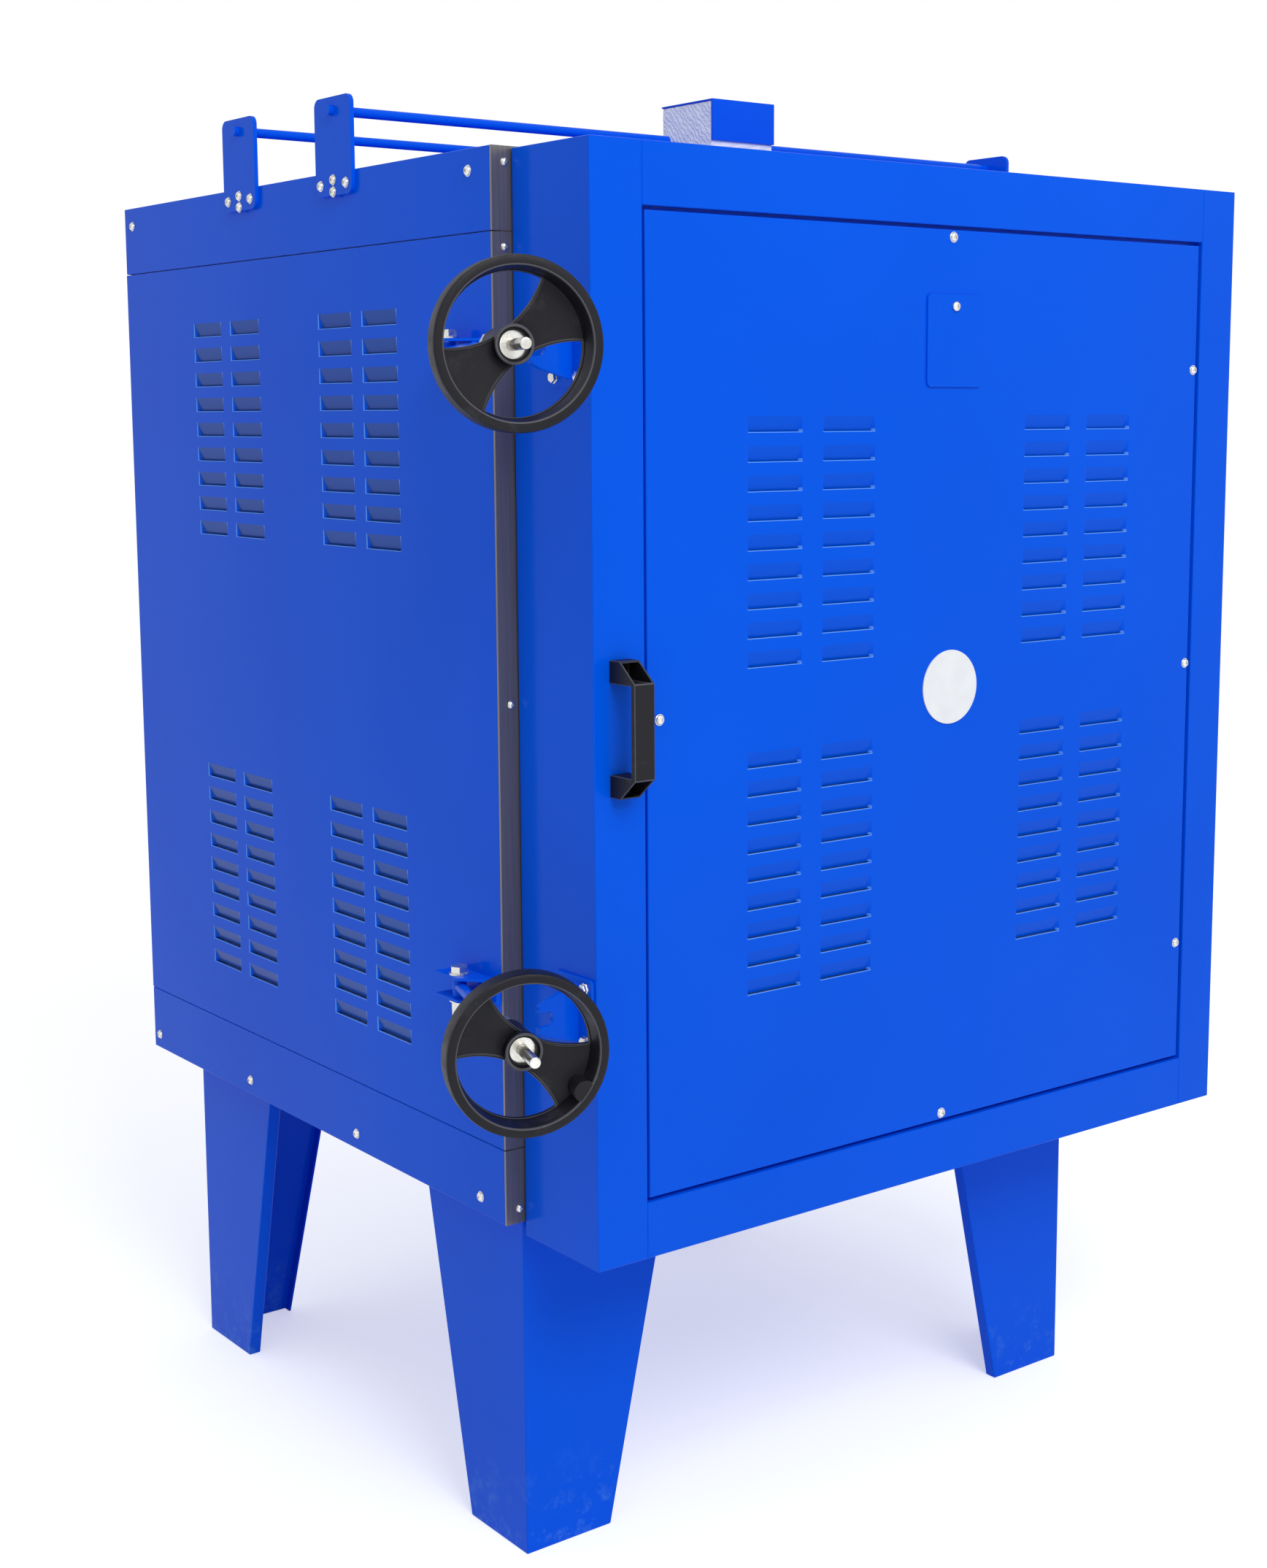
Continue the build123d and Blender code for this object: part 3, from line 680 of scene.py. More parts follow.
@dataclass(frozen=True)
class ZincPlate(Finish):
    """Bright zinc plating with a faint yellow cast and fine turning marks."""

    name: str = "zinc_plate"

    def mix(self, zinc: Shade) -> None:
        """Mixes the zinc.

        Args:
            zinc: the material in the making.
        """
        colour = zinc.ramp(zinc.noise(55, 3), (0.3, (0.62, 0.60, 0.54)), (0.7, (0.83, 0.83, 0.81)))
        gloss = zinc.between(zinc.noise(300, 4), 0.3, 0.7, 0.22, 0.42)
        zinc.set(Base_Color=colour, Roughness=gloss, Metallic=1.0)
        zinc.bump(zinc.noise(900, 2), 0.02 * MM)


@dataclass(frozen=True)
class MouldedPlastic(Finish):
    """Black moulded plastic with a fine matt grain and a few pale rubs."""

    name: str = "black_plastic"
    colour: Triple = (0.007, 0.007, 0.011)
    rub: float = 0.025

    def mix(self, black: Shade) -> None:
        """Mixes the plastic.

        Args:
            black: the material in the making.
        """
        rubbed = tuple(part + self.rub for part in self.colour)
        colour = black.ramp(black.noise(34, 9, 0.72), (0.55, self.colour), (0.78, rubbed))
        gloss = black.between(black.noise(60, 4), 0.3, 0.7, 0.40, 0.54)
        black.set(Base_Color=colour, Roughness=gloss, Specular_IOR_Level=0.24)
        black.bump(black.noise(1400, 2), 0.06 * MM)


@dataclass(frozen=True)
class Firebrick(Finish):
    """Pale insulating firebrick in thin-jointed courses, with open pores and heat stains."""

    name: str
    facing: Facing
    length: float = 0.23
    course: float = 0.114
    joint: float = 0.9 * MM

    def mix(self, brick: Shade) -> None:
        """Mixes the brickwork.

        Args:
            brick: the material in the making.
        """
        laid = brick.add("TexBrick", {
            "Vector": brick.mapped((1, 1, 1), self.facing.value), "Scale": 1.0,
            "Brick Width": self.length, "Row Height": self.course, "Mortar Size": self.joint,
            "Mortar Smooth": 0.2, "Bias": -0.1, "Color1": (0.80, 0.70, 0.53, 1),
            "Color2": (0.86, 0.79, 0.64, 1), "Mortar": (0.36, 0.30, 0.23, 1),
        }).outputs
        pores = brick.noise(520, 6, 0.7)
        stain = brick.ramp(pores, (0.36, (0.50, 0.41, 0.29)), (0.52, (0.84, 0.76, 0.61)))
        share = brick.between(brick.noise(9, 5), 0.3, 0.8, 0.15, 0.5)
        colour = brick.blend(share, laid["Color"], stain)
        brick.set(Base_Color=colour, Roughness=0.95, Specular_IOR_Level=0.15)
        brick.bump(pores, 0.6 * MM)
        brick.bump(brick.between(laid["Fac"], 0, 1, 1, 0), 1.2 * MM)


@dataclass(frozen=True)
class FlueFibre(Finish):
    """Crumpled pale facing over the fibre of the flue block, in slanting ripples, with painted shade in their
    creases.
    """

    name: str = "flue_fibre"

    def mix(self, fibre: Shade) -> None:
        """Mixes the facing.

        Args:
            fibre: the material in the making.
        """
        creases = fibre.add("TexWave", {
            "Vector": fibre.mapped((0.3, 1, -1)), "Scale": 80, "Distortion": 8, "Detail": 4,
            "Detail Scale": 1.5,
        }, bands_direction="DIAGONAL").outputs["Fac"]
        # The creases are painted a little greyer than the ridges: painted shade.
        colour = fibre.ramp(creases, (0.02, (0.86, 0.87, 0.89)), (0.25, (0.98, 0.98, 0.98)))
        fibre.set(Base_Color=colour, Roughness=0.5, Sheen_Weight=0.8, Sheen_Roughness=0.6)
        fibre.bump(creases, 0.4 * MM)
        fibre.bump(fibre.noise(260, 5), 0.2 * MM)


@dataclass(frozen=True)
class WhiteEnamel(Finish):
    """Satin white plate, very slightly yellowed in places."""

    name: str = "white_enamel"

    def mix(self, white: Shade) -> None:
        """Mixes the enamel.

        Args:
            white: the material in the making.
        """
        tone = white.noise(40, 4)
        colour = white.ramp(tone, (0.3, (0.83, 0.84, 0.86)), (0.7, (0.90, 0.91, 0.92)))
        white.set(Base_Color=colour, Roughness=white.between(tone, 0.3, 0.7, 0.28, 0.36))
        white.bump(white.noise(700, 2), 0.02 * MM)


@dataclass(frozen=True)
class HeatingWire(Finish):
    """Dark oxidised resistance wire."""

    name: str = "heating_wire"

    def mix(self, wire: Shade) -> None:
        """Mixes the wire's scale.

        Args:
            wire: the material in the making.
        """
        scale = wire.noise(700, 4)
        colour = wire.ramp(scale, (0.3, (0.10, 0.09, 0.085)), (0.7, (0.23, 0.21, 0.19)))
        wire.set(Base_Color=colour, Roughness=0.62, Metallic=0.6)
        wire.bump(scale, 0.1 * MM)


@dataclass(frozen=True)
class StudioFloor(Finish):
    """Plain pale floor that shows white and keeps the kiln's soft shadow."""

    name: str = "studio_floor"
    lift: float = 0.5

    def mix(self, floor: Shade) -> None:
        """Mixes the floor, which glows a little where it is seen.

        Args:
            floor: the material in the making.
        """
        colour = floor.ramp(floor.noise(1.2, 2), (0, (0.90, 0.90, 0.90)), (1, (0.92, 0.92, 0.92)))
        floor.set(Base_Color=colour, Roughness=0.8, Specular_IOR_Level=0.1)
        glow = floor.add("Emission", {"Strength": floor.times(floor.seen_rays(), self.lift)})
        both = {0: floor.shader.outputs["BSDF"], 1: glow.outputs["Emission"]}
        shown = floor.add("AddShader", both).outputs["Shader"]
        floor.fill(floor.nodes["Material Output"], {"Surface": shown})


class Paints:
    """The finishes of this kiln, each made once."""

    def __init__(self) -> None:
        """Builds every material."""
        self.enamel = BlueEnamel().build()
        self.leg_enamel = BlueEnamel("scuffed_blue_enamel", dust_top=0.12).build()
        self.stainless = BrushedStainless().build()
        self.zinc = ZincPlate().build()
        self.plastic = MouldedPlastic().build()
        # A paler plastic for rounded edges and the hub's front: rubbed wear and a painted highlight.
        self.plastic_edge_wear_and_highlight = MouldedPlastic("rubbed_plastic_edge_and_painted_highlight", (0.085, 0.085, 0.095)).build()
        # A lighter enamel for the louvres' cut edges and the feet of the blades' ends: a painted highlight.
        self.painted_highlight_edge = BlueEnamel("painted_highlight_enamel_edge", (0.16, 0.40, 0.98), (0.10, 0.32, 0.94)).build()
        # Darker enamels for the flats of the pressed blades, on the sides and on the front: painted shade.
        self.side_blade_painted_shade = BlueEnamel("side_blade_painted_shade_enamel", (0.018, 0.100, 0.46), (0.030, 0.088, 0.43)).build()
        self.front_blade_painted_shade = BlueEnamel("front_blade_painted_shade_enamel", (0.0, 0.101, 0.79), (0.0, 0.092, 0.74)).build()
        self.brick_up = Firebrick("firebrick_level", Facing.UP).build()
        self.brick_side = Firebrick("firebrick_side", Facing.SIDE).build()
        self.brick_front = Firebrick("firebrick_front", Facing.FRONT).build()
        self.fibre = FlueFibre().build()
        self.white = WhiteEnamel().build()
        self.wire = HeatingWire().build()


def fit(piece: Piece, body: str, finish: Material, *nodes: str) -> None:
    """Gives a piece its finish, hangs it on its body and lets it stand for its solids.

    Args:
        piece: the finished piece.
        body: the CAD body that it moves with.
        finish: its material.
        nodes: the CAD nodes that it stands for.
    """
    if not piece.data.materials:
        piece.data.materials.append(finish)
    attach(piece, body)
    if nodes:
        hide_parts(*nodes)
    LOG.info("%s: %d faces on %s", piece.name, len(piece.data.polygons), body)


def fit_solid(node: str, name: str, body: str, finish: Material, width: float, steps: int = 2) -> None:
    """Rounds a copy of a CAD solid and lets it stand for that solid."""
    fit(from_node(node, name, width, steps), body, finish, node)


def paint_node(node: str, finish: Material) -> None:
    """Dresses a CAD solid whose shape is right as it is.

    Args:
        node: the CAD node's name.
        finish: its material.
    """
    slots = frame["nodes"][node].data.materials
    if len(slots):
        for index in range(len(slots)):
            slots[index] = finish
    else:
        slots.append(finish)
    LOG.info("%s: CAD solid, dressed", node)


# What the sub-assemblies share
@dataclass(frozen=True)
class Datum:
    """The planes that everything is set out from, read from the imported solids."""

    door_left: float
    door_right: float
    door_front: float
    door_foot: float
    door_top: float
    cabinet_left: float
    cabinet_right: float
    cabinet_front: float
    cabinet_back: float
    base: float
    roof: float

    @property
    def middle(self) -> float:
        """The door's centre line across the kiln."""
        return (self.door_left + self.door_right) / 2


def read_datum() -> Datum:
    """Reads the setting-out planes from the CAD boxes.

    Returns:
        The planes.
    """
    left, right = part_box("door_left_stile"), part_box("door_right_stile")
    cap, tray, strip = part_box("roof_cap"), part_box("base_tray"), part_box("front_frame")
    return Datum(
        left[0][0], right[1][0], left[0][1], left[0][2], left[1][2],
        cap[0][0], cap[1][0], strip[0][1], cap[1][1], tray[0][2], cap[1][2],
    )


@dataclass(frozen=True)
class SubAssembly:
    """What every sub-assembly is given: the setting-out planes, the finishes and the common screw."""

    datum: Datum
    paints: Paints
    screw: Piece


# Screws
def sink_cross(screw: Piece, half: float, narrow: float, top: float, depth: float) -> None:
    """Sinks a cross recess into a screw's head.

    Args:
        screw: the screw, head up.
        half: half the length of its arms.
        narrow: half their width.
        top: the height of the head's top.
        depth: how deep the recess is.
    """
    for x, y in ((half, narrow), (narrow, half)):
        cut(screw, block("slot", (-x, -y, top - depth), (x, y, top + MM)))


def set_row(
    master: Piece, name: str, places: Sequence[Triple], facing: Triple, turn: float = 0.4, step: float = 0.7
) -> Piece:
    """Sets copies of a screw in a row of places, each turned a little differently.

    Args:
        master: the screw that was modelled once.
        name: the name of the joined row.
        places: where the screws go.
        facing: the way that their heads look.
        turn: how far the first is turned, in radians.
        step: how much further each is turned than the one before.

    Returns:
        One piece with all the screws of the row.
    """
    row = []
    for index, place in enumerate(places):
        spin = Matrix.Rotation(step * index + turn, 4, "Z")
        row.append(copy_at(master, f"{name}_{index}", Matrix.Translation(place) @ looking(facing) @ spin))
    return join(name, row)


@dataclass(frozen=True)
class PanHeadScrew:
    """A zinc-plated pan-head screw with a cross recess and a plain washer."""

    head_radius: float = 5.0 * MM
    head_height: float = 3.2 * MM
    washer_radius: float = 5.9 * MM
    washer_height: float = 0.7 * MM
    recess_length: float = 4.8 * MM
    recess_width: float = 1.0 * MM
    recess_depth: float = 1.5 * MM
    dome: Pairs = ((0.3, 1), (0.62, 0.9), (0.87, 0.66), (1, 0.3))

    def model(self) -> Piece:
        """Models one screw standing on Z = 0, head up.

        Returns:
            The screw.
        """
        radius, height, washer = self.head_radius, self.head_height, self.washer_height
        rings = [(0, self.washer_radius), (washer, self.washer_radius), (washer + 0.01 * MM, radius * 0.97)]
        rings += [(washer + height * rise, radius * share) for rise, share in self.dome]
        screw = turned("screw", rings, 20)
        half, narrow = self.recess_length / 2, self.recess_width / 2
        sink_cross(screw, half, narrow, washer + height, self.recess_depth)
        return smooth(screw, 42)


# Louvred sheets
def lip_heights(bases: Sequence[float], foot: float, rows: int = 9, pitch: float = 30.3 * MM) -> list[float]:
    """The heights of a sheet's lips over its foot, bank by bank, from the lowest lips' heights."""
    return [base + row * pitch - foot for base in bases for row in range(rows)]


@dataclass(frozen=True)
class LouvredSheet:
    """A flat sheet with blades pressed inwards over open slots, in columns.

    Its left foot corner is at the origin and its front is on Y = 0, facing -Y. A blade's ends and
    levels are pairs of a distance, from its end or lip, and a share of its full depth.
    """

    columns: Sequence[float]
    lips: Sequence[float]
    blade_width: float = 73 * MM
    blade_rise: float = 16 * MM
    blade_depth: float = 4.6 * MM
    thickness: float = 1.2 * MM
    lip_round: float = 0.8 * MM
    # How high the painted highlight reaches up a blade's end from its lip.
    painted_highlight_rise: float = 2.6 * MM
    ends_show: bool = False
    ends: Pairs = ((0.7 * MM, 0.42), (2.0 * MM, 1.0))
    levels: Pairs = ((0.0, 1.0), (2.6 * MM, 0.85), (8.0 * MM, 0.53), (14.8 * MM, 0.09))

    @property
    def half(self) -> float:
        """Half the width of a blade."""
        return self.blade_width / 2

    def reach(self, x: float) -> float:
        """How far a place is from the middle of the nearest column."""
        return min(abs(x - centre) for centre in self.columns)

    def rise(self, z: float) -> float:
        """How high a place is over the lip below it."""
        return min((z - lip for lip in self.lips if z > lip), default=1.0)

    def on_lip(self, z: float) -> bool:
        """Whether a height is that of a lip."""
        return any(abs(z - lip) < NEAR for lip in self.lips)

    def model(self, name: str, width: float, height: float) -> Piece:
        """Models the sheet without its gauge.

        Args:
            name: the piece's name.
            width: the sheet's width.
            height: the sheet's height.

        Returns:
            The sheet.
        """
        deselect_all()
        bpy.ops.mesh.primitive_plane_add(size=1, rotation=(pi / 2, 0, 0), location=(width / 2, 0, height / 2))
        sheet = bpy.context.active_object
        sheet.scale = (width, height, 1)
        freeze(sheet)
        offsets = [self.half] + [self.half - step for step, _ in self.ends]
        rises = [level for level, _ in self.levels] + [self.blade_rise]
        with editing(sheet):
            for centre in self.columns:
                for offset in offsets:
                    self.score((centre + offset, 0, 0), (1, 0, 0))
                    self.score((centre - offset, 0, 0), (1, 0, 0))
            for lip in self.lips:
                for rise in rises:
                    self.score((0, 0, lip + rise), (0, 0, 1))
            self.crease(sheet)
            pick(sheet, Pick.EDGE, self.is_slit)
            bpy.ops.mesh.edge_split(type="EDGE")
            self.press(sheet)
        return name_piece(sheet, name)

    @staticmethod
    def score(place: Triple, across: Triple) -> None:
        """Divides the sheet along one line."""
        select_whole()
        bpy.ops.mesh.bisect(plane_co=place, plane_no=across)

    def is_slit(self, middle: Vector, run: Vector) -> bool:
        """Whether an edge lies on a lip and inside a blade's width, where the sheet is cut open."""
        return self.reach(middle.x) < self.half and abs(run.z) < 0.5 and self.on_lip(middle.z)

    def crease(self, sheet: Piece) -> None:
        """Keeps the sheet flat in the light right up to the outline of every blade.

        Args:
            sheet: the sheet, open in edit mode.
        """

        def outlines(middle: Vector, run: Vector) -> bool:
            """Whether an edge lies on the outline of a blade."""
            reach = self.reach(middle.x)
            rises = [middle.z - lip for lip in self.lips if -NEAR < middle.z - lip < self.blade_rise + NEAR]
            if not rises or reach > self.half + NEAR:
                return False
            if abs(run.z) > 0.5:
                return abs(reach - self.half) < NEAR
            return min(abs(rises[0]), abs(rises[0] - self.blade_rise)) < NEAR

        pick(sheet, Pick.EDGE, outlines)
        bpy.ops.mesh.mark_sharp()

    def press(self, sheet: Piece) -> None:
        """Pushes each blade inwards, from nothing at its top and ends to full depth at its lip.

        Args:
            sheet: the sheet, open in edit mode.
        """
        for rise, drop in self.levels:
            for step, share in self.ends:
                bpy.ops.mesh.select_mode(type="VERT")
                bpy.ops.mesh.select_all(action="DESELECT")
                shape = bmesh.from_edit_mesh(sheet.data)
                for vert in shape.verts:
                    level = next((lip for lip in self.lips if abs(vert.co.z - lip - rise) < NEAR), None)
                    if level is None or abs(self.reach(vert.co.x) - self.half + step) >= NEAR:
                        continue
                    lowest = min(face.calc_center_median().z for face in vert.link_faces)
                    if rise or lowest > level:
                        vert.select_set(True)
                bmesh.update_edit_mesh(sheet.data)
                bpy.ops.transform.translate(value=(0, self.blade_depth * drop * share, 0))

    def thicken(self, sheet: Piece, *finishes: Material) -> None:
        """Gives the sheet its gauge and rounds the cut edge under every blade, which gets a lighter enamel as
        a painted highlight.

        Args:
            sheet: the pressed sheet.
            finishes: those of the sheet, of its painted highlights on cut edges and blade ends, and of the
                blades' painted shade.
        """
        refine(sheet, "SOLIDIFY", thickness=self.thickness, offset=-1)
        for finish in finishes:
            sheet.data.materials.append(finish)
        flat = self.half - self.ends[-1][0]

        def on_painted_shade_blade(middle: Vector, normal: Vector) -> bool:
            """Whether a face is the flat of a blade, which gets a darker enamel as painted shade."""
            inside = self.reach(middle.x) < flat and self.rise(middle.z) < self.blade_rise
            return inside and middle.y > 0 and normal.y < -0.5

        def on_painted_highlight_foot(middle: Vector, normal: Vector) -> bool:
            """Whether a face is the foot of a blade's end, which gets a painted highlight."""
            at_end = flat < self.reach(middle.x) < self.half
            return at_end and self.rise(middle.z) < self.painted_highlight_rise and normal.y < -0.1

        def on_cut(middle: Vector, run: Vector) -> bool:
            """Whether an edge is the front one of a slot's foot, or of a blade's end where that shows."""
            reach = self.reach(middle.x)
            along_lip = reach < self.half and self.on_lip(middle.z) and abs(run.x) > 0.9
            at_end = abs(reach - self.half) < NEAR and self.rise(middle.z) < self.blade_rise
            along_end = self.ends_show and at_end and abs(run.z) > 0.9
            return (along_lip or along_end) and abs(middle.y) < 0.05 * MM

        # The blades' flats get the darker enamel: painted shade.
        finish_faces(sheet, 2, on_painted_shade_blade)
        # The feet of the blades' ends get the lighter enamel: a painted highlight.
        finish_faces(sheet, 1, on_painted_highlight_foot)
        with editing(sheet):
            pick(sheet, Pick.EDGE, on_cut)
            # The rounding of the cut edges gets the lighter enamel too: a painted highlight.
            bpy.ops.mesh.bevel(offset=self.lip_round, segments=2, affect="EDGES", material=1)
        smooth(sheet, 40)


# Stand and cabinet
@dataclass(frozen=True)
class Stand(SubAssembly):
    """The four folded legs."""

    fold: float = 1.6 * MM

    def build(self) -> None:
        """Rounds the legs' folds and gives them the scuffed enamel."""
        for side in ("front_left", "front_right", "back_left", "back_right"):
            fit_solid(f"{side}_leg", f"{side}_folded_leg", "kiln", self.paints.leg_enamel, self.fold, 3)


@dataclass(frozen=True)
class Cabinet(SubAssembly):
    """The folded shell, its louvred sides, the bare front strips and the screws that hold them.

    Screws are pairs of distances, in millimetres: from the front and from the roof or base on a side,
    and from a side and from the base on the front strips. Those of the back are in metres.
    """

    bank_distances: tuple[float, float] = (275 * MM, 592 * MM)
    column_step: float = 98 * MM
    upper_lip_under_roof: float = 411 * MM
    lower_lip_above_base: float = 156 * MM
    cap_screws: Pairs = ((42, -22), (847, -23))
    band_screws: Pairs = ((49, 19), (317, 19), (586, 19), (853, 19))
    strip_screws: Pairs = ((16, 1101), (15, 1018), (15, 556), (14, 101), (17, 16))
    back_edge_screws: Sequence[float] = (-0.46, -0.155, 0.155, 0.46)
    back_edge_insets: tuple[float, float] = (0.02, 0.023)
    back_side_screws: Sequence[float] = (0.16, 0.42, 0.68, 0.94)
    back_side_reach: float = 0.478

    def build(self) -> None:
        """Builds and dresses the cabinet."""
        for node in ("roof_cap", "base_tray", "back_panel"):
            fit_solid(node, f"{node}_sheet", "kiln", self.paints.enamel, 1.4 * MM, 3)
        fit_solid("front_frame", "front_strips", "kiln", self.paints.stainless, 0.5 * MM)
        self.build_sides()
        self.drive_side_screws()
        self.drive_back_screws()
        self.drive_strip_screws()

    def build_sides(self) -> None:
        """Builds both louvred side sheets."""
        low, high = box_of("left_side_panel")
        datum, paints = self.datum, self.paints
        bases = (datum.base + self.lower_lip_above_base, datum.roof - self.upper_lip_under_roof)
        lips = lip_heights(bases, low.z)
        half = self.column_step / 2
        front = datum.cabinet_front
        centres = [front + reach + side for reach in self.bank_distances for side in (-half, half)]
        for name, columns, corner, turn in (
            ("left", [high.y - y for y in centres], (datum.cabinet_left, high.y, low.z), -pi / 2),
            ("right", [y - low.y for y in centres], (datum.cabinet_right, low.y, low.z), pi / 2),
        ):
            maker = LouvredSheet(columns, lips, thickness=2 * MM, painted_highlight_rise=MM, ends_show=True)
            sheet = maker.model(f"{name}_side_panel_sheet", high.y - low.y, high.z - low.z)
            maker.thicken(sheet, paints.enamel, paints.painted_highlight_edge, paints.side_blade_painted_shade)
            sheet.data.transform(placed(corner, turn))
            fit(sheet, "kiln", paints.enamel, f"{name}_side_panel")

    def drive_side_screws(self) -> None:
        """Drives the screws of the cap and the band."""
        datum = self.datum
        for name, x, look in (("left", datum.cabinet_left, -1), ("right", datum.cabinet_right, 1)):
            spots = [(y, datum.roof + z * MM) for y, z in self.cap_screws]
            spots += [(y, datum.base + z * MM) for y, z in self.band_screws]
            places = [(x, datum.cabinet_front + y * MM, z) for y, z in spots]
            fit(set_row(self.screw, f"{name}_side_screws", places, (look, 0, 0)), "kiln", self.paints.zinc)

    def drive_back_screws(self) -> None:
        """Drives the screws round the back sheet."""
        datum = self.datum
        foot, head = self.back_edge_insets
        heights = (datum.base + foot, datum.roof - head)
        spots = [(x, z) for x in self.back_edge_screws for z in heights]
        reaches = (-self.back_side_reach, self.back_side_reach)
        spots += [(x, datum.base + z) for x in reaches for z in self.back_side_screws]
        centre = (datum.cabinet_left + datum.cabinet_right) / 2
        places = [(centre + x, datum.cabinet_back, z) for x, z in spots]
        fit(set_row(self.screw, "back_screws", places, (0, 1, 0)), "kiln", self.paints.zinc)

    def drive_strip_screws(self) -> None:
        """Drives the smaller screws of the front strips."""
        datum = self.datum
        small = PanHeadScrew(3.9 * MM, 2.4 * MM, 4.4 * MM, 0.4 * MM, 3.8 * MM, 0.8 * MM).model()
        places = []
        for inset, rise in self.strip_screws:
            for x in (datum.cabinet_left + inset * MM, datum.cabinet_right - inset * MM):
                places.append((x, datum.cabinet_front, datum.base + rise * MM))
        fit(set_row(small, "front_strip_screws", places, (0, -1, 0)), "kiln", self.paints.zinc)
        bpy.data.objects.remove(small)


# Chamber
@dataclass(frozen=True)
class Chamber(SubAssembly):
    """The brick lining and the coiled elements that lie in its grooves."""

    grooves: int = 7
    groove_depth: float = 20 * MM
    coil_radius: float = 6.5 * MM
    wire_radius: float = 0.9 * MM
    wire_sides: int = 5
    coil_steps: int = 10
    pitch: float = 7 * MM
    corner: float = 25 * MM
    from_front: float = 44 * MM

    def build(self) -> None:
        """Dresses the lining and winds the elements."""
        paints = self.paints
        for side, brick in (
            ("floor", paints.brick_up), ("roof", paints.brick_up), ("left", paints.brick_side),
            ("right", paints.brick_side), ("back", paints.brick_front),
        ):
            paint_node(f"lining_{side}", brick)
        left, right, back = (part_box(f"lining_{side}") for side in ("left", "right", "back"))
        step = (left[1][2] - left[0][2]) / self.grooves
        levels = [left[0][2] + step * (index + 0.5) for index in range(self.grooves)]
        y0, y1 = left[0][1] + self.from_front, left[1][1] - self.corner
        x0, x1 = left[1][0], right[0][0]
        side = self.coil("side_coil", y1 - y0)
        across = self.coil("back_coil", x1 - x0 - 2 * self.corner)
        inset = self.groove_depth - self.coil_radius - 2 * self.wire_radius
        for name, coil, x, y, turn, axis in (
            ("left", side, x0 - inset, y0, -pi / 2, "X"),
            ("right", side, x1 + inset, y0, -pi / 2, "X"),
            ("back", across, x0 + self.corner, back[0][1] + inset, pi / 2, "Y"),
        ):
            row = []
            for index, z in enumerate(levels):
                row.append(copy_at(coil, f"{name}_{index}", placed((x, y, z), turn, axis)))
            fit(join(f"{name}_elements", row), "kiln", paints.wire)
        bpy.data.objects.remove(side)
        bpy.data.objects.remove(across)

    def coil(self, name: str, length: float) -> Piece:
        """Winds one straight run of element about the Z axis.

        Args:
            name: the coil's name.
            length: how far it runs.

        Returns:
            The coil, from Z = 0 upwards.
        """
        deselect_all()
        bpy.ops.mesh.primitive_circle_add(
            vertices=self.wire_sides, radius=self.wire_radius, location=(self.coil_radius, 0, 0),
            rotation=(pi / 2, 0, 0),
        )
        coil = bpy.context.active_object
        freeze(coil)
        wind(coil, self.pitch, int((length - 4 * self.wire_radius) / self.pitch), self.coil_steps)
        with editing(coil):
            weld()
            bpy.ops.mesh.fill_holes(sides=self.wire_sides + 1)
            bpy.ops.mesh.normals_make_consistent(inside=False)
        coil.data.transform(Matrix.Translation((0, 0, 2 * self.wire_radius)))
        return name_piece(smooth(coil, 60), name)


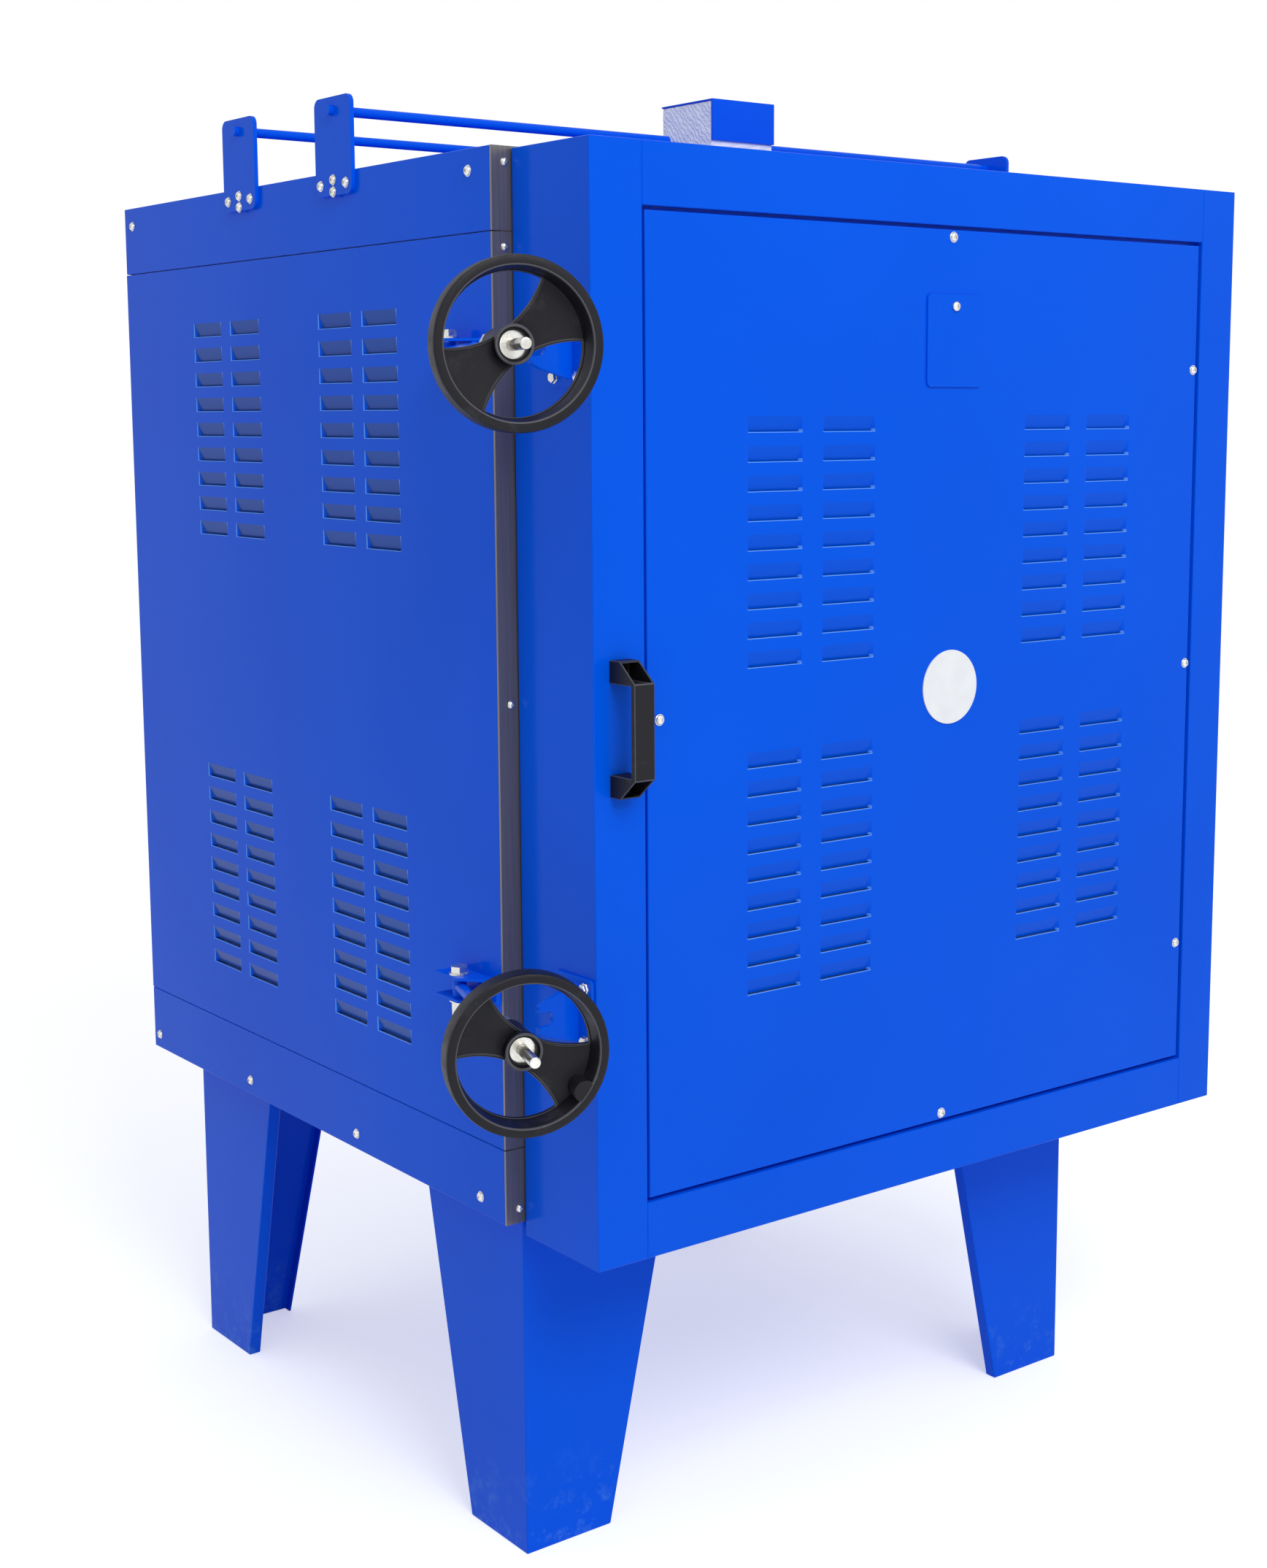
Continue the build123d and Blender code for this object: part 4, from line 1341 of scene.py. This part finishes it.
# Roof fittings
@dataclass(frozen=True)
class RoofFittings(SubAssembly):
    """Lifting uprights and cross rods, and the flue block under its folded cover."""

    upright_distances: tuple[float, float] = (309 * MM, 535 * MM)
    upright_thickness: float = 5 * MM
    screw_spots: Pairs = ((-28, -14), (0, -9), (28, -14), (0, -22))
    flue_shift: float = -6 * MM
    flue_stretch: float = 1.39
    cover_notch: float = 4 * MM
    cover_gauge: float = 1.6 * MM
    crumple: float = 2.2 * MM
    crease_size: float = 11 * MM
    core_set_back: float = 0.4 * MM
    core_cuts: int = 20

    def build(self) -> None:
        """Builds and dresses everything on the roof."""
        enamel = self.paints.enamel
        fit_solid("roof_uprights", "lifting_uprights", "kiln", enamel, 0.6 * MM)
        fit_solid("cross_rods", "lifting_rods", "kiln", enamel, 0.5 * MM)
        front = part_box("vent_cover")[0][1]
        stretch = Matrix.Diagonal((1, self.flue_stretch, 1, 1))
        deepen = Matrix.Translation((self.flue_shift, front, 0)) @ stretch @ Matrix.Translation((0, -front, 0))
        self.build_cover(deepen)
        self.build_flue(deepen)
        self.drive_screws()

    def build_cover(self, deepen: Matrix) -> None:
        """Models the folded cover, whose rear flange is notched at its ends.

        Args:
            deepen: how the cover is set and stretched.
        """
        cover = from_node("vent_cover", "flue_cover", 0.5 * MM)
        cover.data.transform(deepen)
        low, high = (deepen @ corner for corner in box_of("vent_cover"))
        back = (deepen @ box_of("vent_core")[1]).y
        for edge in (low.x, high.x):
            notch_low = (edge - self.cover_notch, back, low.z - MM)
            notch_high = (edge + self.cover_notch, high.y + MM, high.z - self.cover_gauge)
            cut(cover, block("notch", notch_low, notch_high))
        fit(cover, "kiln", self.paints.enamel, "vent_cover")

    def build_flue(self, deepen: Matrix) -> None:
        """Models the fibre block with its crumpled facing.

        Args:
            deepen: how the block is set and stretched to fill its cover.
        """
        low, high = (deepen @ corner for corner in box_of("vent_core"))
        inset = Vector((self.crumple * 0.3, 0, 0))
        low.y += self.core_set_back
        high.y = ((deepen @ box_of("vent_cover")[1]).y + high.y) / 2
        core = round_edges(block("flue_block", low + inset, high - inset), 2 * MM, 3)
        with editing(core):
            select_whole()
            bpy.ops.mesh.subdivide(number_cuts=self.core_cuts)
        creases = bpy.data.textures.new("flue_creases", "CLOUDS")
        creases.noise_scale = self.crease_size
        creases.noise_depth = 4
        with editing(core):
            pick(core, Pick.VERT, lambda middle, normal: abs(normal.x) > 0.6)
            bpy.ops.object.vertex_group_assign_new()
        refine(
            core, "DISPLACE", texture=creases, strength=self.crumple, mid_level=0.5,
            direction="X", vertex_group=core.vertex_groups[-1].name,
        )
        fit(smooth(core, 50), "kiln", self.paints.fibre, "vent_core")

    def drive_screws(self) -> None:
        """Drives the screws at the feet of the uprights."""
        datum, gap = self.datum, self.upright_thickness
        sides = (("left", datum.cabinet_left - gap, -1), ("right", datum.cabinet_right + gap, 1))
        for name, x, look in sides:
            places = [
                (x, datum.cabinet_front + reach + y * MM, datum.roof + z * MM)
                for reach in self.upright_distances
                for y, z in self.screw_spots
            ]
            fit(set_row(self.screw, f"{name}_upright_screws", places, (look, 0, 0)), "kiln", self.paints.zinc)


# Door
@dataclass(frozen=True)
class Door(SubAssembly):
    """The casing, the louvred panel, the lining with its plug, and the door's furniture."""

    bank_centres: tuple[float, float] = (-194.5 * MM, 211.5 * MM)
    column_step: float = 102.5 * MM
    upper_lip_under_top: float = 524 * MM
    lower_lip_above_foot: float = 258 * MM
    set_back: float = 1.5 * MM
    fold_depth: float = 10 * MM
    fold_round: float = 1.5 * MM
    peephole_radius: float = 16 * MM
    peephole_x: float = 9 * MM
    peephole_under_top: float = 193 * MM
    seat_margin: float = 3.7 * MM
    seat_lift: float = 0.3 * MM
    seat_gauge: float = 1.2 * MM
    seat_width: float = 20 * MM
    handle_width: float = 24.5 * MM
    handle_lift: float = 6.5 * MM
    handle_bar: float = 6.5 * MM
    handle_flat: float = 17 * MM
    handle_slope: float = 21 * MM
    handle_foot: float = 23 * MM
    handle_wall: float = 1.8 * MM
    cover_screw_head: float = 4 * MM
    cover_screw_thin: float = 3 * MM
    cover_screw_dome: Pairs = ((0.3, 1), (0.65, 0.88), (0.9, 0.6), (1, 0.28))
    panel_screws: Pairs = ((6.6, 1056), (412, 917), (412, 562), (409, 211), (5, 72), (-398, 562))

    def build(self) -> None:
        """Builds and dresses the door."""
        datum, paints = self.datum, self.paints
        for node in ("door_left_stile", "door_right_stile", "door_top_rail", "door_bottom_rail"):
            fit_solid(node, f"{node}_fold", "door", paints.enamel, 1.2 * MM, 3)
        self.build_panel()
        paint_node("door_insulation", paints.brick_front)
        self.build_seat()
        self.build_handle()
        fit_solid("door_badge", "plain_round_plate", "door", paints.white, 0.6 * MM)
        fit_solid("peephole_cover", "peephole_plate", "peephole_cover_plate", paints.enamel, 0.5 * MM)
        self.build_cover_screw()
        places = [
            (datum.middle + x * MM, datum.door_front + self.set_back, datum.door_foot + z * MM)
            for x, z in self.panel_screws
        ]
        fit(set_row(self.screw, "panel_screws", places, (0, -1, 0)), "door", paints.zinc)

    def build_panel(self) -> None:
        """Models the louvred panel with its folded edges and the peephole."""
        low, high = box_of("door_panel")
        datum, paints = self.datum, self.paints
        half = self.column_step / 2
        columns = [datum.middle + bank + side - low.x for bank in self.bank_centres for side in (-half, half)]
        bases = (datum.door_foot + self.lower_lip_above_foot, datum.door_top - self.upper_lip_under_top)
        maker = LouvredSheet(columns, lip_heights(bases, low.z))
        width, height = high.x - low.x, high.z - low.z
        panel = maker.model("louvred_door_panel", width, height)

        def on_border(middle: Vector, run: Vector) -> bool:
            """Whether an edge lies on the panel's outline."""
            across = NEAR < middle.x < width - NEAR
            return abs(middle.y) < NEAR and not (across and NEAR < middle.z < height - NEAR)

        with editing(panel):
            pick(panel, Pick.EDGE, on_border)
            bpy.ops.mesh.extrude_region_move(TRANSFORM_OT_translate={"value": (0, self.fold_depth, 0)})
            pick(panel, Pick.EDGE, on_border)
            bpy.ops.mesh.bevel(offset=self.fold_round, segments=3, affect="EDGES")
        maker.thicken(panel, paints.enamel, paints.painted_highlight_edge, paints.front_blade_painted_shade)
        hole = turned("hole", [(-20 * MM, self.peephole_radius), (20 * MM, self.peephole_radius)], 48)
        centre = (datum.middle + self.peephole_x - low.x, 0, datum.door_top - self.peephole_under_top - low.z)
        hole.data.transform(placed(centre, pi / 2, "X"))
        cut(panel, hole)
        panel.data.transform(Matrix.Translation((low.x, datum.door_front + self.set_back, low.z)))
        fit(smooth(panel, 40), "door", paints.enamel, "door_panel")

    def build_seat(self) -> None:
        """Models the casing's folded return that the panel is screwed to, seen in the gap round it."""
        low, high = box_of("door_panel")
        front, margin = high.y - self.seat_lift - self.seat_gauge, self.seat_margin
        outer_low = Vector((low.x - margin, front, low.z - margin))
        outer_high = Vector((high.x + margin, front + self.seat_gauge, high.z + margin))
        inner = Vector((self.seat_width, -MM, self.seat_width))
        seat = block("panel_seat", outer_low, outer_high)
        cut(seat, block("opening", outer_low + inner, outer_high - inner))
        fit(smooth(seat), "door", self.paints.enamel)

    def build_handle(self) -> None:
        """Models the bridge handle: a thin bar, and feet that are hollow behind their open shoulders."""
        low, high = box_of("door_handle")
        low.z += self.handle_lift
        middle = (low.z + high.z) / 2
        half, out, wall = (high.z - low.z) / 2, high.y - low.y, self.handle_wall
        gap_end, bar_back = half - self.handle_foot, -out + self.handle_bar
        upper = [(0, half), (-self.handle_flat, half), (-out, half - self.handle_slope)]
        side = upper + [(y, -z) for y, z in reversed(upper)]
        side += [(0, -gap_end), (bar_back, -gap_end), (bar_back, gap_end), (0, gap_end)]
        corners = [(low.x, high.y + y, middle + z) for y, z in side]
        handle = prism("bridge_handle", corners, (self.handle_width, 0, 0))
        for sense in (-1, 1):
            ends = sorted((middle + sense * (gap_end + wall), middle + sense * (half - wall)))
            pocket_low = (low.x + wall, low.y + wall, ends[0])
            pocket_high = (low.x + self.handle_width - wall, high.y - wall, ends[1])
            cut(handle, block("pocket", pocket_low, pocket_high))
        for finish in (self.paints.plastic, self.paints.plastic_edge_wear_and_highlight):
            handle.data.materials.append(finish)
        # The rounded edges get the paler plastic: rubbed wear and a painted highlight.
        round_edges(handle, 0.7 * MM, 2, 30, 1)
        fit(smooth(handle), "door", self.paints.plastic, "door_handle")

    def build_cover_screw(self) -> None:
        """Models the screw that the peephole cover hangs from."""
        low, high = box_of("peephole_screw")
        radius, length, head = (high.x - low.x) / 2, high.y - low.y, self.cover_screw_head
        shank, thin = length - head, self.cover_screw_thin
        rings = [(0, thin), (shank, thin), (shank + 0.01 * MM, radius * 0.98)]
        rings += [(shank + rise * head, radius * share) for rise, share in self.cover_screw_dome]
        screw = turned("cover_screw", rings, 28)
        sink_cross(screw, 2.6 * MM, 0.6 * MM, length, 1.7 * MM)
        centre = ((low.x + high.x) / 2, high.y, (low.z + high.z) / 2)
        screw.data.transform(placed(centre, pi / 2, "X"))
        fit(smooth(screw, 42), "door", self.paints.zinc, "peephole_screw")


# Clamps
@dataclass(frozen=True)
class Handwheel:
    """A moulded two-spoke wheel about Z, at its distance from the clamp's pivot, with its front towards +Z.

    The web is dished and has beads round its openings. The hub ring stands up from it.
    Angles are in degrees, anticlockwise as seen from the front. Lengths are in millimetres.
    """

    opening_axis: float
    boss_angle: float | None
    rim: Pairs = (
        (66.4, 252), (76.8, 252), (79.2, 253.2), (80, 255.6), (80, 272.6), (79.2, 275.6),
        (76.8, 277), (71.4, 277), (70.4, 276.5), (69.8, 275.2),
    )
    hub: Pairs = (
        (13.1, 202), (17, 202), (17, 250), (18.6, 251), (18.6, 259.2), (18, 260), (16.4, 260),
        (15.8, 259.4), (15.4, 255), (13.1, 255),
    )
    web_inside: float = 15
    web_outside: float = 68
    web_at_hub: float = 248
    web_at_rim: float = 254
    web_gauge: float = 4.5
    bead_height: float = 1.8
    bead_width: float = 2.4
    opening_gap: float = 15.5
    opening_arc: float = 95
    opening_corner: float = 8
    opening_reach: float = 66
    tool_ends: tuple[float, float] = (230, 290)
    boss_radius: float = 11
    boss_reach: float = 68
    boss_ends: tuple[float, float] = (250, 276.6)

    def model(self, name: str, paints: Paints) -> Piece:
        """Models the wheel.

        Args:
            name: the piece's name.
            paints: the finishes.

        Returns:
            The wheel.
        """
        web = spun(name, self.dish(0, 0))
        bead = spun("bead", self.dish(self.bead_height, 1))
        wide = self.opening(self.bead_width)
        combine(bead, combine(wide, self.opening(self.bead_width, 180), "UNION"), "INTERSECT")
        combine(web, bead, "UNION")
        cut(web, self.opening(0))
        cut(web, self.opening(0, 180))
        for finish in (paints.plastic, paints.plastic_edge_wear_and_highlight):
            web.data.materials.append(finish)
        # The rounded edges of the web's beads get the paler plastic: rubbed wear and a painted highlight.
        round_edges(clean(web, 0.3 * MM, 1), 0.5 * MM, 2, 40, 1, False)
        wheel = combine(web, spun("hub", self.hub, 64), "UNION")
        rim = spun("rim", self.rim)
        if self.boss_angle is not None:
            boss = turned("boss", [(end * MM, self.boss_radius * MM) for end in self.boss_ends], 40)
            round_edges(boss, 0.6 * MM)
            turn = Matrix.Rotation(radians(self.boss_angle), 4, "Z")
            boss.data.transform(turn @ Matrix.Translation((self.boss_reach * MM, 0, 0)))
            combine(rim, boss, "UNION")
        combine(wheel, rim, "UNION")
        finish_faces(wheel, 1, self.on_rubbed_and_highlight_edge)
        return smooth(wheel, 32)

    def on_rubbed_and_highlight_edge(self, middle: Vector, normal: Vector) -> bool:
        """Whether a face is on the rim's inner front edge or on the hub's front, which get the paler plastic:
        rubbed wear and a painted highlight.

        Args:
            middle: the face's middle.
            normal: the way that it faces; not used.

        Returns:
            Whether it is.
        """
        radius, height = middle.xy.length / MM, middle.z / MM
        on_rim = height > self.rim[-1][1] - 0.3 and self.rim[-1][0] - 0.3 < radius < self.rim[-3][0]
        on_hub = height > self.hub[4][1] - 0.1 and self.hub[7][0] < radius < self.hub[4][0]
        return on_rim or on_hub

    def dish(self, extra: float, inset: float) -> list[tuple[float, float]]:
        """The section of the dished web.

        Args:
            extra: how far its front is raised.
            inset: how far its other sides lie inside the web's own.

        Returns:
            Its corners.
        """
        r0, r1, gauge = self.web_inside + inset, self.web_outside - inset, self.web_gauge - inset
        return [
            (r0, self.web_at_hub - gauge), (r1, self.web_at_rim - gauge),
            (r1, self.web_at_rim + extra), (r0, self.web_at_hub + extra),
        ]

    def opening(self, wider: float, turn: float = 0) -> Piece:
        """The shape of one opening: the rim's circle within a large arc, with rounded corners.

        Args:
            wider: how far its side reaches past the opening's edge.
            turn: how far it is turned from the first opening.

        Returns:
            The tool, long enough to pass through the web.
        """
        low, high = (self.tool_ends[0] - wider) * MM, (self.tool_ends[1] + wider) * MM
        reach, arc = (self.opening_reach + wider * 0.35) * MM, self.opening_arc * MM
        lens = turned("opening", [(low, reach), (high, reach)], 96)
        side = turned("side", [(low - MM, arc), (high + MM, arc)], 160)
        side.data.transform(Matrix.Translation(((self.opening_gap - wider) * MM + arc, 0, 0)))
        combine(lens, side, "INTERSECT")
        with editing(lens):
            shape = bmesh.from_edit_mesh(lens.data)
            for edge in shape.edges:
                if abs(edge.verts[0].co.z - edge.verts[1].co.z) > 50 * MM:
                    edge.select_set(edge.calc_face_angle(0) > radians(40))
            bmesh.update_edit_mesh(lens.data)
            bpy.ops.mesh.bevel(offset=self.opening_corner * MM, segments=8, affect="EDGES")
        lens.data.transform(Matrix.Rotation(radians(self.opening_axis + turn), 4, "Z"))
        return lens


@dataclass(frozen=True)
class Clamp(SubAssembly):
    """One swing-bolt clamp: a painted shank, a threaded rod, a handwheel with its insert, and a fork bracket.

    The weld bead and the hexagon screws are rings: pairs of height and radius, in millimetres.
    """

    label: str
    opening_axis: float
    boss_angle: float | None = None
    painted_length: float = 114 * MM
    painted_radius: float = 6.2 * MM
    sleeve_start: float = 30 * MM
    rod_length: float = 299 * MM
    bush_front: float = 251 * MM
    bush_cut: float = 20 * MM
    crest_radius: float = 5.5 * MM
    root_radius: float = 5.32 * MM
    pitch: float = 1.5 * MM
    end_chamfer: float = 1.2 * MM
    bracket_gauge: float = 4 * MM
    bracket_screws: Pairs = ((14, 27), (14, -27), (56, 27), (56, -27))
    bead_rings: Pairs = ((-4.2, 6.3), (-3.0, 6.9), (-1.6, 7.3), (-0.2, 7.1), (1.0, 6.3), (1.7, 5.5))
    hexagon_rings: Pairs = ((0, 6.6), (1.0, 6.6), (1.01, 5.544), (1.3, 5.6), (4.4, 5.6), (4.9, 4.928))

    def build(self) -> None:
        """Builds and dresses the clamp."""
        label, paints = self.label, self.paints
        joints = {joint["name"]: joint for joint in frame["joints"]}
        pivot = Vector(joints[f"{label}_clamp_swing"]["pos_m"])
        along = Vector(joints[f"{label}_wheel_spin"]["axis"]).normalized()
        self.build_rod(pivot, along)
        above = Vector((0, 0, 1))
        place = Matrix.Translation(pivot) @ Matrix((above.cross(along), above, along)).transposed().to_4x4()
        wheel = Handwheel(self.opening_axis, self.boss_angle).model(f"{label}_two_spoke_wheel", paints)
        wheel.data.transform(place)
        fit(wheel, f"{label}_clamp_wheel", paints.plastic, f"{label}_handwheel")
        insert = from_node(f"{label}_wheel_insert", f"{label}_wheel_bush")
        ends = (self.bush_front, self.bush_front + self.bush_cut)
        nose = turned("nose", [(end, self.bush_cut) for end in ends])
        nose.data.transform(place)
        cut(insert, nose)
        round_edges(insert, 0.6 * MM)
        fit(smooth(insert), f"{label}_clamp_wheel", paints.zinc, f"{label}_wheel_insert")
        fit_solid(f"{label}_fork_bracket", f"{label}_door_fork", "door", paints.enamel, 0.7 * MM)
        self.drive_bracket_screws(pivot.z)

    def build_rod(self, pivot: Vector, along: Vector) -> None:
        """Builds the painted eye and shank, the weld bead and the bare threaded rod.

        Args:
            pivot: the middle of the eye.
            along: the way that the rod runs.
        """
        label, paints, length = self.label, self.paints, self.painted_length
        shank = from_node(f"{label}_swing_rod", f"{label}_painted_shank")
        with editing(shank):
            select_whole()
            end = pivot + along * (length - 0.5 * MM)
            bpy.ops.mesh.bisect(plane_co=end, plane_no=along, clear_outer=True, use_fill=True)
        place = Matrix.Translation(pivot) @ looking(along)
        ends = (self.sleeve_start, length - MM)
        sleeve = turned("sleeve", [(end, self.painted_radius) for end in ends], 40)
        sleeve.data.transform(place)
        combine(shank, sleeve, "UNION")
        fit(smooth(shank), f"{label}_clamp_rod", paints.enamel, f"{label}_swing_rod")
        bead = turned(f"{label}_weld_bead", [(z * MM, radius * MM) for z, radius in self.bead_rings], 40)
        ripple = bpy.data.textures.new(f"{label}_weld_ripple", "CLOUDS")
        ripple.noise_scale = 4.5 * MM
        refine(bead, "DISPLACE", texture=ripple, strength=0.7 * MM, mid_level=0.5)
        bead.data.transform(place @ Matrix.Translation((0, 0, length)))
        fit(smooth(bead, 60), f"{label}_clamp_rod", paints.enamel)
        rod = turned(f"{label}_threaded_rod", self.thread(), 20)
        rod.data.transform(place)
        fit(smooth(rod, 50), f"{label}_clamp_rod", paints.zinc, f"{label}_swing_rod")

    def thread(self) -> list[tuple[float, float]]:
        """The rings of the bare rod, from under the weld bead to its chamfered end.

        Returns:
            Pairs of height and radius.
        """
        rings = [(self.painted_length - 2 * MM, self.root_radius)]
        at, end = self.painted_length - MM, self.rod_length - self.end_chamfer
        while at + self.pitch < end:
            rings.append((at, self.root_radius))
            rings += [(at + self.pitch * share, self.crest_radius) for share in (0.45, 0.6)]
            at += self.pitch
        return rings + [(end, self.crest_radius), (self.rod_length, self.crest_radius - self.end_chamfer)]

    def drive_bracket_screws(self, height: float) -> None:
        """Screws the fork bracket to the door's side with hexagon-headed screws.

        Args:
            height: the height of the clamp's pivot.
        """
        datum = self.datum
        master = turned("hexagon_screw", [(z * MM, radius * MM) for z, radius in self.hexagon_rings], 6)
        x = datum.door_left - self.bracket_gauge
        places = [(x, datum.door_front + back * MM, height + rise * MM) for back, rise in self.bracket_screws]
        row = set_row(master, f"{self.label}_bracket_screws", places, (-1, 0, 0), 0.5, 0.9)
        bpy.data.objects.remove(master)
        fit(smooth(round_edges(row, 0.25 * MM), 25), "door", self.paints.zinc)


@dataclass(frozen=True)
class PivotsAndHinges(SubAssembly):
    """The clevises and pivot bolts of the clamps, and both halves of the door's hinges."""

    edge: float = 0.6 * MM
    bolt_growth: Triple = (1.2, 1.2, 1.28)
    bolt_reach: float = 50 * MM

    def build(self) -> None:
        """Builds and dresses these fittings."""
        fit_solid("clamp_clevises", "clamp_ears", "kiln", self.paints.enamel, self.edge)
        self.build_bolts()
        fit_solid("cabinet_hinges", "fixed_hinge_halves", "kiln", self.paints.enamel, self.edge)
        fit_solid("door_hinges", "moving_hinge_halves", "door", self.paints.enamel, self.edge)

    def build_bolts(self) -> None:
        """Dresses the pivot bolts, with heads and nuts grown from the ears to the photograph's size."""
        bolts = from_node("clamp_pivot_bolts", "pivot_bolts")
        swings = [joint for joint in frame["joints"] if joint["name"].endswith("_clamp_swing")]
        pivots = [Vector(joint["pos_m"]) for joint in swings]
        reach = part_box("clamp_clevises")[1][2] - max(pivot.z for pivot in pivots)
        for pivot in pivots:
            for sense in (-1, 1):
                face = pivot + Vector((0, 0, sense * reach))

                def beyond(middle: Vector, normal: Vector) -> bool:
                    """Whether a corner belongs to the head or nut on this side."""
                    return -NEAR < (middle.z - face.z) * sense < self.bolt_reach

                with editing(bolts):
                    pick(bolts, Pick.VERT, beyond)
                    bpy.ops.transform.resize(value=self.bolt_growth, center_override=face)
        round_edges(bolts, 0.4 * MM)
        fit(smooth(bolts, 25), "kiln", self.paints.zinc, "clamp_pivot_bolts")


# Studio
@dataclass(frozen=True)
class Studio:
    """The camera of the photograph, a pale floor and soft light.

    The camera stands at its distances from the door's lower left corner, in widths of the door. Its
    angles are in radians.
    """

    door_unit: float = 0.96
    station: Triple = (-1.30711, -1.83076, 0.90296)
    yaw: float = 0.6564
    pitch: float = 0.1395
    roll: float = -0.0038
    focal: float = 62.93
    shift: tuple[float, float] = (-0.03174, -0.04645)
    fill: float = 0.56
    room: Triple = (0.93, 0.96, 1.0, 1)
    key_place: Triple = (-0.9, -3.6, 3.9)
    key_aim: Triple = (0.0, -0.3, 0.8)
    key_size: float = 2.2
    key_power: float = 100.0
    floor_size: float = 14

    def place_camera(self) -> None:
        """Sets the camera where the photograph was taken from."""
        corner = Vector(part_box("door_left_stile")[0])
        ahead = Vector((sin(self.yaw) * cos(self.pitch), cos(self.yaw) * cos(self.pitch), -sin(self.pitch)))
        level = Vector((cos(self.yaw), -sin(self.yaw), 0))
        upright = level.cross(ahead)
        right = cos(self.roll) * level + sin(self.roll) * upright
        above = -sin(self.roll) * level + cos(self.roll) * upright
        lens = bpy.data.cameras.new("camera")
        lens.sensor_fit = "HORIZONTAL"
        lens.sensor_width = 36
        lens.lens = self.focal
        lens.shift_x, lens.shift_y = self.shift
        lens.clip_end = 60
        camera = link("camera", lens)
        turn = Matrix((right, above, -ahead)).transposed().to_4x4()
        camera.matrix_world = Matrix.Translation(corner + Vector(self.station) * self.door_unit) @ turn
        bpy.context.scene.camera = camera

    def light(self) -> None:
        """Lights the kiln with a pale room, which looks white itself, and one soft lamp."""
        world = bpy.data.worlds.new("room")
        bpy.context.scene.world = world
        tree = Tree(world)
        glow = tree.nodes["Background"]
        tree.fill(glow, {"Color": self.room, "Strength": self.fill})
        white = tree.add("Background", {"Color": (1, 1, 1, 1)})
        shades = {1: glow.outputs["Background"], 2: white.outputs["Background"]}
        mixed = tree.add("MixShader", {0: tree.seen_rays(), **shades})
        tree.fill(tree.nodes["World Output"], {"Surface": mixed.outputs["Shader"]})
        key = bpy.data.lights.new("key_lamp", "AREA")
        key.size = self.key_size
        key.energy = self.key_power
        lamp = link("key_lamp", key)
        lamp.location = self.key_place
        aim = Vector(self.key_aim) - Vector(self.key_place)
        lamp.rotation_euler = aim.to_track_quat("-Z", "Y").to_euler()

    def lay_floor(self) -> None:
        """Lays the pale floor."""
        deselect_all()
        bpy.ops.mesh.primitive_plane_add(size=self.floor_size, location=(0, 0, 0))
        floor = name_piece(bpy.context.active_object, "studio_floor")
        freeze(floor)
        floor.data.materials.append(StudioFloor().build())

    def build(self) -> None:
        """Sets up the whole studio."""
        self.place_camera()
        self.light()
        self.lay_floor()
        bpy.context.scene.view_settings.view_transform = "Standard"


def main() -> None:
    """Builds the studio and every sub-assembly of the kiln."""
    logging.basicConfig(level=logging.INFO, format="%(message)s")
    Studio().build()
    paints = Paints()
    shared = (read_datum(), paints, PanHeadScrew().model())
    for kind in (Stand, Cabinet, Chamber, RoofFittings, Door):
        kind(*shared).build()
    Clamp(*shared, "upper", 124).build()
    Clamp(*shared, "lower", 60.3, -36).build()
    PivotsAndHinges(*shared).build()
    bpy.data.objects.remove(shared[-1])


if __name__ == "__main__":
    main()
